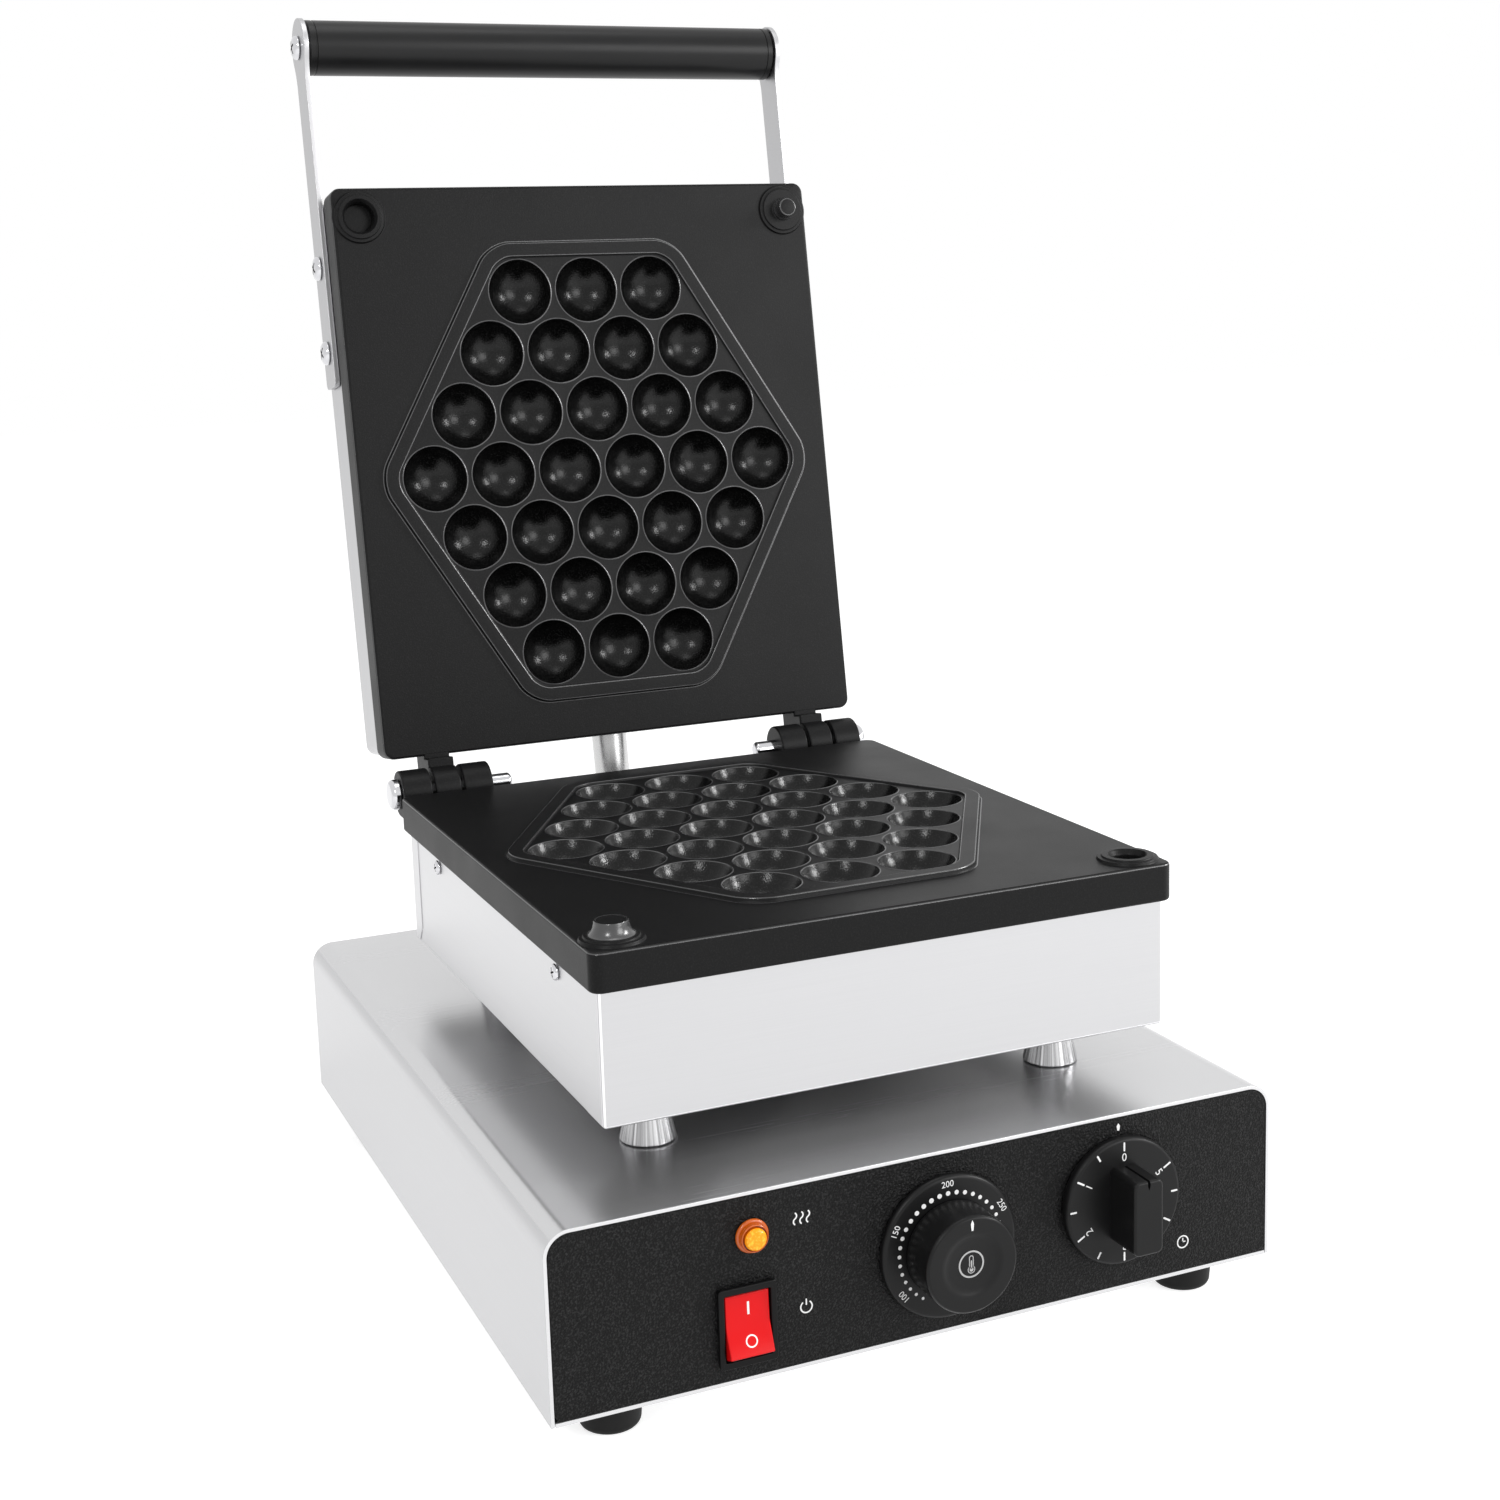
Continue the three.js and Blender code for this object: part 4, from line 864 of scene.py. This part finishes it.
def make_handle():
    outside = ARM_INSIDE + ARM_THICKNESS
    screw = crossed_screw(5.8, 2.8, 8, 2.2)
    for name, side in SIDES.items():
        start = ARM_INSIDE if side > 0 else -outside
        piece(f'arm_{name}', arm_plate(), steel_arm, 'lid',
              lid_place @ move(start, -GRIP_REACH, GRIP_HEIGHT) @ SIDEWAYS, f'handle_arm_{name}')
        for place, reach, spin in (('grip_screw', GRIP_REACH, 17), ('arm_screw_near', 214, 48),
                                   ('arm_screw_far', 255, 48)):
            seat = move(side * (outside + SEAT), -reach, GRIP_HEIGHT) @ OUTWARD[name]
            piece(f'{place}_{name}_head', screw.copy(), [chrome, slot_black_painted_shade], 'lid',
                  lid_place @ seat @ turn(spin, 'Z'), f'{place}_{name}')
    screw.free()
    half = ARM_INSIDE - SEAT
    out, groove = GRIP_RADIUS, GRIP_RADIUS - 0.35
    end = [(out - 1, half), (out, half - 1), (out, half - 3.4), (groove, half - 3.6), (groove, half - 4.2),
           (out, half - 4.4)]
    bar = turned([(0, -half), *((radius, -x) for radius, x in end), *reversed(end), (0, half)], steps=72)
    piece('grip_bar', bar, grip_black, 'lid',
          lid_place @ move(0, -GRIP_REACH, GRIP_HEIGHT) @ RIGHT, 'grip')


make_handle()


# Hinge pins, tray screws, spacers, feet
WRAP_RADIUS = 0.01


def wrapped(bm):
    """A turned shape with a wrapping for its painted reflection streaks: its height, and its angle from the
    back.
    """
    layer = bm.loops.layers.uv.new('wrapping')
    for face in bm.faces:
        seen = [math.atan2(loop.vert.co.x, -loop.vert.co.y) for loop in face.loops]
        for loop, angle in zip(face.loops, seen):
            if max(seen) - min(seen) > math.pi and angle < 0:
                angle += 2 * math.pi
            loop[layer].uv = (loop.vert.co.z * MM, angle * WRAP_RADIUS)
    return bm


def make_fittings():
    for name, side in SIDES.items():
        lo, hi = low(f'hinge_pin_{name}'), high(f'hinge_pin_{name}')
        inner, outer = sorted((abs(lo.x), abs(hi.x)))
        length = outer - inner
        pin = turned([(0, 0), (3.6, 0, 1.4), (4.2, 1.6, 0.5), (4.2, length - 4.5), (7.3, length - 4.5, 0.5),
                      (7.3, length - 1.4, 1.0), (5.8, length, 0.8), (0, length)], steps=48)
        piece(f'pin_{name}', pin, chrome, 'base',
              move(side * inner, hinge.y, hinge.z) @ OUTWARD[name], f'hinge_pin_{name}')
        for place in ('front', 'back'):
            screw = f'tray_screw_{place}_{name}'
            seat = move(side * (high('lower_tray').x + SEAT), middle(screw).y, middle(screw).z)
            piece(f'{screw}_head', crossed_screw(3.3, 1.7, 6, 1.6, depth=0.9, width=0.7), [chrome, slot_black_painted_shade],
                  'base', seat @ OUTWARD[name] @ turn(20, 'Z'), screw)
            spacer = f'spacer_{place}_{name}'
            cone = turned([(0, -4), (3, -4), (3, 0.3), (10.9, 0.3, 0.2), (11.3, 0.7, 0.25), (11.25, 1.1, 0.25),
                           (6.4, 21.7, 0.3), (3, 21.7), (3, 25.7), (0, 25.7)])
            piece(f'{spacer}_cone', wrapped(cone), spacer_metal_painted_reflections, 'base',
                  move(middle(spacer).x, middle(spacer).y, base_high.z), spacer)
            foot = f'foot_{place}_{name}'
            pad = turned([(0, 6), (3.5, 6), (3.5, 0, 0.4), (10.2, 0, 1.2), (11.5, 1.6, 1.2), (12.5, 13.7, 0.3),
                          (4, 13.7), (4, 18.7), (0, 18.7)])
            piece(f'{foot}_pad', pad, rubber_black, 'base',
                  move(middle(foot).x, middle(foot).y), foot)


make_fittings()

# Lead conduit, its bush, the grommet below it and the cable gland

def make_lead_parts():
    conduit = lid_place @ move(0, 0, GRIP_HEIGHT) @ BACK
    tube = turned([(7.55, -27), (8.75, -27), (8.75, 58, 0.3), (7.55, 58, 0.3)], closed=True)
    piece('conduit_tube', tube, steel_tube, 'lid', conduit, 'lead_conduit')
    bush = turned([(4, 49.3), (7.25, 49.3), (7.25, 58.3), (8.75, 58.3, 0.4), (8.1, 60.3, 0.8), (4, 60.3, 0.5)],
                  closed=True)
    piece('conduit_end_bush', bush, rubber_black, 'lid', conduit, 'conduit_bush')
    centre = middle('lead_grommet')
    ring = turned([(5, -3.8, 0.8), (11, -3.8, 0.6), (11, -1.8, 0.3), (8.5, -1.8), (8.5, 0.3), (11, 0.3, 0.3),
                   (10.4, 2.0, 1.2), (5, 2.3, 1.2)], closed=True)
    piece('base_grommet', ring, rubber_black, 'base', move(centre.x, centre.y, base_high.z),
          'lead_grommet')
    gland = turned([(4, -10), (9, -10), (9, 7.5), (9.6, 8.2), (10.6, 9.0, 0.5), (10.6, 15.0, 1.2),
                    (8.2, 19.2, 1.0), (6.4, 20, 0.5), (4, 20, 0.6)], closed=True)
    for start in (0.3, -7.8):
        nut = bmesh.new()
        bmesh.ops.create_circle(nut, cap_ends=True, segments=6, radius=13)
        soften(raised(nut, 6), 0.7, angle=35)
        add(gland, nut, move(z=start))
    centre = middle('cable_gland')
    piece('gland', gland, black_plastic, 'base',
          move(centre.x, high('back_panel').y, centre.z) @ BACK, 'cable_gland')


make_lead_parts()

# Controls, drawn on the panel's face: x to the right, y up, z out of the panel
PRINT_RISE = 0.05
DIAL_TOP = 4.3
SCALE_TOP = 3.3
KNOB_FACE = 19.3


def on_panel(x, z):
    return move(x, panel_face, z) @ FRONT


def over(node):
    """The place on the panel's face in front of a CAD node."""
    return on_panel(*middle(node).xz)


def lettering(text, size):
    """Text as a thin raised print, centred."""
    curve = bpy.data.curves.new(text, 'FONT')
    curve.body, curve.size, curve.extrude, curve.resolution_u = text, size, PRINT_RISE / 2, 4
    curve.align_x, curve.align_y = 'CENTER', 'CENTER'
    bm = as_shape(into_scene(text, curve))
    bmesh.ops.remove_doubles(bm, verts=bm.verts[:], dist=1e-5)
    return bm


def printed(shape):
    return raised(shape, PRINT_RISE)


def print_piece(name, marks, body, place, finishes=print_white):
    piece(name, marks, finishes, body, place, weighted=False)


def circle_outline(radius, steps=32, x=0, y=0):
    bm = bmesh.new()
    bmesh.ops.create_circle(bm, cap_ends=True, segments=steps, radius=radius)
    bm.transform(move(x, y))
    return bm


def disc_mark(radius, steps=20):
    return printed(circle_outline(radius, steps))


def ring_mark(outer, inner):
    return turned([(inner, 0), (outer, 0), (outer, PRINT_RISE), (inner, PRINT_RISE)], ROUND_STEPS, closed=True)


def bar_mark(width, length, radius=0.2):
    return printed(box_outline(width, length, radius, 3))


def drop_mark(width, length):
    x, foot, y = width / 2, width * 0.3, length / 2
    return printed(outline([(-foot, -y, 0.25), (foot, -y, 0.25), (x, y * 0.3, 0.4), (0, y, 0.15),
                            (-x, y * 0.3, 0.4)], 4))


def arc_mark(radius, width, start, angle, steps=16):
    """A printed stroke along part of a circle."""
    bm = bmesh.new()
    chain(bm, [(radius - width / 2, 0), (radius + width / 2, 0)], False)
    swept(bm, bm.verts[:] + bm.edges[:], math.radians(angle), steps)
    bm.transform(turn(start, 'Z'))
    return printed(bm)


def make_panel():
    lo, hi, centre = low('front_panel'), high('front_panel'), middle('front_panel')
    holes = []
    for name, radius in (('thermostat_shaft', 5.3), ('timer_shaft', 5.3), ('lamp_lens', 4.9)):
        place = middle(name) - centre
        holes.append(circle_outline(radius, x=place.x, y=place.z))
    place = middle('switch_housing') - centre
    opening = box_outline(20.8, 28.8)
    opening.transform(move(place.x, place.z))
    face = pierced(box_outline(hi.x - lo.x, hi.z - lo.z, (2.5, 2.5, 8.2, 8.2), 10), opening, *holes)
    panel = raised(face, hi.y - lo.y)
    panel.transform(move(z=lo.y - hi.y))
    soften(panel, 0.35, where=lying_at(0))
    piece('panel_face', panel, leather_black, 'base', over('front_panel'), 'front_panel')
    marks = bmesh.new()
    lamp, switch, timer = middle('lamp_lens'), middle('switch_housing'), middle('timer_shaft')
    for offset in (-2.6, 0, 2.6):
        wave = arc_mark(1.3, 0.55, 120, 120)
        add(wave, arc_mark(1.3, 0.55, -60, 120), move(-1.3, 2.25))
        add(marks, wave, move(lamp.x + 20.65 + offset, lamp.z + 1.4))
    for mark, x, y in ((arc_mark(2.3, 0.55, 125, 290, 28), switch.x + 24, switch.z + 1),
                       (bar_mark(0.55, 2.5), switch.x + 24, switch.z + 2.9),
                       (ring_mark(2.75, 2.2), timer.x + 30, timer.z - 24.8),
                       (bar_mark(0.5, 1.9), timer.x + 30, timer.z - 24.1),
                       (bar_mark(1.5, 0.5), timer.x + 30.5, timer.z - 24.8)):
        add(marks, mark, move(x, y))
    print_piece('panel_marks', marks, 'base', on_panel(0, 0))


def make_timer():
    place = over('timer_shaft')
    knob = turned([(3.3, 0.3), (25.6, 0.3, 0.3), (26, 0.9, 0.3), (26, 3.2, 0.9), (24.9, DIAL_TOP, 0.6),
                   (3.3, DIAL_TOP)], steps=96, closed=True)
    bar = raised(box_outline(13, 30, 2.6, 6), 19.7)
    bar.transform(move(z=2))
    soften(bar, 1.1, where=lying_at(21.7), segments=4)
    notch = raised(outline([(-0.55, 0), (0, -1.6), (0.55, 0), (0.55, 3), (-0.55, 3)]), 24)
    notch.transform(move(0, 15, 5) @ turn(7, 'X'))
    add(notch, raised(circle_outline(3.3, 24), 10.3), move(z=1))
    add(knob, carve(bar, notch))
    piece('timer_dial', knob, black_plastic, 'timer', place, 'timer_knob')
    marks = bmesh.new()
    for step in range(11):
        angle = turn(30 * step, 'Z')
        numbered = step % 2 == 0
        length = 3.6 if numbered else 2.9
        add(marks, bar_mark(0.75, length), angle @ move(0, 24.4 - length / 2, DIAL_TOP))
        if numbered:
            add(marks, lettering(str(step // 2), 4.6), angle @ move(0, 18.2, DIAL_TOP + PRINT_RISE / 2))
    print_piece('timer_marks', marks, 'timer', place)
    print_piece('timer_index', drop_mark(1.5, 3.0), 'base', place @ move(0, 29.2))


def make_thermostat():
    place = over('thermostat_shaft')
    ring = turned([(8, 0.3), (28.2, 0.3, 0.3), (28.5, 0.8, 0.3), (28.5, 2.3, 0.9), (27.3, SCALE_TOP, 0.7),
                   (8, SCALE_TOP)], steps=96, closed=True)
    piece('thermostat_ring', ring, black_plastic, 'base', place, 'thermostat_scale')
    knob = turned([(0, 11.3), (3.3, 11.3), (3.3, 3.6), (18.6, 3.6, 0.4), (19, 4.4, 0.4), (19, 19.6, 0.5),
                   (18.2, 20.6, 0.45), (12.4, 20.55, 0.8), (10.4, 19.75, 1.0), (6.4, KNOB_FACE, 0.8),
                   (0, KNOB_FACE)], steps=96)
    piece('thermostat_dial', knob, black_plastic, 'thermostat', place, 'thermostat_knob')
    marks = bmesh.new()
    for text, angle in (('100', 128), ('150', 65), ('200', 2), ('250', -61)):
        add(marks, lettering(text, 3.5), turn(angle, 'Z') @ move(0, 25.2, SCALE_TOP + PRINT_RISE / 2))
    for step in range(29):
        size = 1.0 - 0.45 * abs(step - 13) / 15
        add(marks, disc_mark(size, 16), turn(146 - step * 9.6, 'Z') @ move(0, 21.6, SCALE_TOP))
    print_piece('thermostat_marks', marks, 'base', place)
    print_piece('thermostat_pointer', drop_mark(1.3, 4.2), 'thermostat', place @ move(0, 15.7, 20.57))
    # The thermometer: a pale outline, a dark stem on it and a pale thread on that
    symbol = bmesh.new()
    add(symbol, ring_mark(5.3, 4.65), move(z=KNOB_FACE))
    layers = ((1.9, 5.4, 0.9, 6, 0.75, 1.55, 24), (1.2, 4.7, 0.55, 6, 0.75, 1.2, 24),
              (0.55, 3.4, 0.25, 4, -0.2, 0.8, 20))
    for layer, (width, length, corner, segments, y, bulb, steps) in enumerate(layers):
        height = KNOB_FACE + 0.03 * layer
        before = len(symbol.faces)
        add(symbol, printed(box_outline(width, length, corner, segments)), move(0, y, height))
        add(symbol, disc_mark(bulb, steps), move(0, -2.1, height))
        symbol.faces.ensure_lookup_table()
        for face in symbol.faces[before:]:
            face.material_index = layer % 2
    print_piece('thermometer_symbol', symbol, 'thermostat', place, [print_grey, black_plastic])


def make_lamp():
    place = over('lamp_lens')
    holder = turned([(0, -18), (4.6, -18), (4.6, 0.3), (6.5, 0.3, 0.3), (6.5, 1.2, 0.4), (5.9, 1.7, 0.3),
                     (0, 1.7)], steps=48)
    piece('lamp_ring', holder, amber_deep, 'base', place, 'lamp_holder')
    lens = turned([(0, 2.0), (5.4, 2.0, 0.2), (5.4, 3.5, 0.3), (5.0, 3.9, 0.2), (4.75, 3.6, 0.1), (4.6, 2.9),
                   (4.35, 2.9), (4.2, 4.6, 0.4), (3.6, 5.5, 0.5), (0, 6.0)], steps=48)
    for face in lens.faces:
        radius = face.calc_center_median().xy.length
        if radius < 4.25 and height_of(face) > 2.95:
            face.material_index = 1
        # The groove takes the dark amber: painted shade
        elif 4.3 < radius < 4.7:
            face.material_index = 2
    piece('lamp_lens_dome', lens, [amber_deep, amber, amber_groove_painted_shade], 'base', place, 'lamp_lens')


def frame_ring(outer, inner, height, outer_radius):
    """A flat rectangular ring, raised."""
    bm = box_outline(*outer, outer_radius, 5)
    add(bm, box_outline(*inner, 0.5, 5))
    bmesh.ops.delete(bm, geom=bm.faces[:], context='FACES_ONLY')
    bmesh.ops.bridge_loops(bm, edges=bm.edges[:])
    return raised(bm, height)


ROCKER_WIDTH = 17.4
ROCKER_RADIUS = 12.4
ROCKER_TILT = 12
ROCKER_VALLEY = 2.6
ROCKER_CORNER = 22
ROCKER_PIVOT = 1


def make_switch():
    centre, place = middle('switch_housing'), over('switch_housing')
    opening, body_size = (18.4, 25.6), (20.2, 28.2)
    frame_part = soften(frame_ring((23, 31), opening, 2.0, 1.4), 0.45, where=level)
    frame_part.transform(move(z=SEAT))
    add(frame_part, frame_ring(body_size, opening, 8, 0.3), move(z=-7.8))
    add(frame_part, raised(box_outline(*body_size), 14), move(z=-22))
    piece('switch_frame', frame_part, switch_black, 'base', place, 'switch_housing')
    lean = math.radians(ROCKER_CORNER)
    out, up = ROCKER_RADIUS * math.sin(lean), ROCKER_RADIUS * math.cos(lean)
    body = raised(outline([(-ROCKER_VALLEY, 0), (-out, up, 0.5), (0, ROCKER_RADIUS), (out, up), (6, 0),
                           (out, -up), (0, -ROCKER_RADIUS), (-out, -up, 0.5)], 4), ROCKER_WIDTH)
    soften(body, 0.45, where=level)
    pivot = move(centre.x, panel_face + ROCKER_PIVOT, centre.z) @ turn(-ROCKER_TILT, 'X')
    piece('rocker_key', body, red_gloss, 'rocker', pivot @ move(-ROCKER_WIDTH / 2) @ SIDEWAYS,
          'switch_rocker')
    lean = math.degrees(math.atan2(out - ROCKER_VALLEY, up))
    middle_out = (out + ROCKER_VALLEY) / 2
    marks = bmesh.new()
    for mark, half, x, y in ((bar_mark(0.85, 4.9, 0.1), 1, 0.3, 0.2), (ring_mark(2.35, 1.8), -1, 0.3, -0.4)):
        slope = move(0, -middle_out - 0.01, half * up / 2) @ turn(half * lean, 'X') @ FRONT
        add(marks, mark, slope @ move(x, y))
    print_piece('rocker_marks', marks, 'rocker', pivot)


make_panel()
make_timer()
make_thermostat()
make_lamp()
make_switch()

# Camera, floor, lamps and room, in metres
FLOOR_SIZE = 6
FLOOR_GREY = 0.6
FLOOR_GLOW = 0.74
ROOM_LIGHT = 0.5
LAMPS = {
    # place, aimed at, size, watts
    'left_box': ((-1.5, -1.7, 1.6), (0, 0, 0.2), (0.34, 0.34), 15),
    'right_box': ((2.4, -0.9, 1.3), (0, 0, 0.2), (0.5, 0.5), 40),
    'front_right_box': ((1.5, -2.4, 1.15), (0, 0, 0.3), (1.4, 1.3), 30),
    'top_box': ((0.1, -0.1, 2.2), (0, 0, 0.2), (1.0, 0.8), 6),
}

camera_data = bpy.data.cameras.new('camera')
camera_data.sensor_width = 36
camera_data.lens = 52.26
camera_data.shift_x, camera_data.shift_y = -0.018, -0.0606
camera = into_scene('camera', camera_data)
camera.location = (-0.3547, -0.8804, 0.4116)
camera.rotation_euler = (turn(-23.54, 'Z') @ turn(79.96, 'X') @ turn(-1.69, 'Z')).to_euler()
bpy.context.scene.camera = camera


def make_floor():
    """A pale floor that is white to the camera and in reflections, but for the shadow on it."""
    bm = bmesh.new()
    bmesh.ops.create_grid(bm, x_segments=1, y_segments=1, size=FLOOR_SIZE)
    floor = into_scene('floor', as_mesh(bm, 'floor'))
    material = bpy.data.materials.new('pale_floor')
    material.use_nodes = True
    tree = material.node_tree
    tree.nodes.clear()
    diffuse = node(tree, 'BsdfDiffuse', {'Color': (FLOOR_GREY, FLOOR_GREY, FLOOR_GREY, 1)})
    glow = node(tree, 'Emission', {'Color': (1, 1, 1, 1), 'Strength': FLOOR_GLOW})
    glowing = node(tree, 'AddShader', {0: diffuse.outputs[0], 1: glow.outputs[0]})
    seen = seen_by(tree, 'Is Camera Ray', 'Is Glossy Ray')
    mix = node(tree, 'MixShader', {0: seen, 1: diffuse.outputs[0], 2: glowing.outputs[0]})
    node(tree, 'OutputMaterial', {'Surface': mix.outputs[0]})
    floor.data.materials.append(material)


def make_lamps():
    for name, (location, target, size, power) in LAMPS.items():
        data = bpy.data.lights.new(name, 'AREA')
        data.shape, data.size, data.size_y, data.energy = 'RECTANGLE', *size, power
        lamp = into_scene(name, data)
        lamp.location = location
        lamp.rotation_euler = (Vector(target) - Vector(location)).to_track_quat('-Z', 'Y').to_euler()


def make_room():
    """White where it is seen or mirrored, dimmer as a light."""
    world = bpy.data.worlds.new('studio')
    bpy.context.scene.world = world
    world.use_nodes = True
    tree = world.node_tree
    tree.nodes.clear()
    seen = seen_by(tree, 'Is Camera Ray', 'Is Glossy Ray', 'Is Transmission Ray')
    strength = blend_numbers(tree, seen, ROOM_LIGHT, 1.0)
    room = node(tree, 'Background', {'Color': (1, 1, 1, 1), 'Strength': strength})
    node(tree, 'OutputWorld', {'Surface': room.outputs[0]})


make_floor()
make_lamps()
make_room()
bpy.context.scene.view_settings.view_transform = 'Standard'
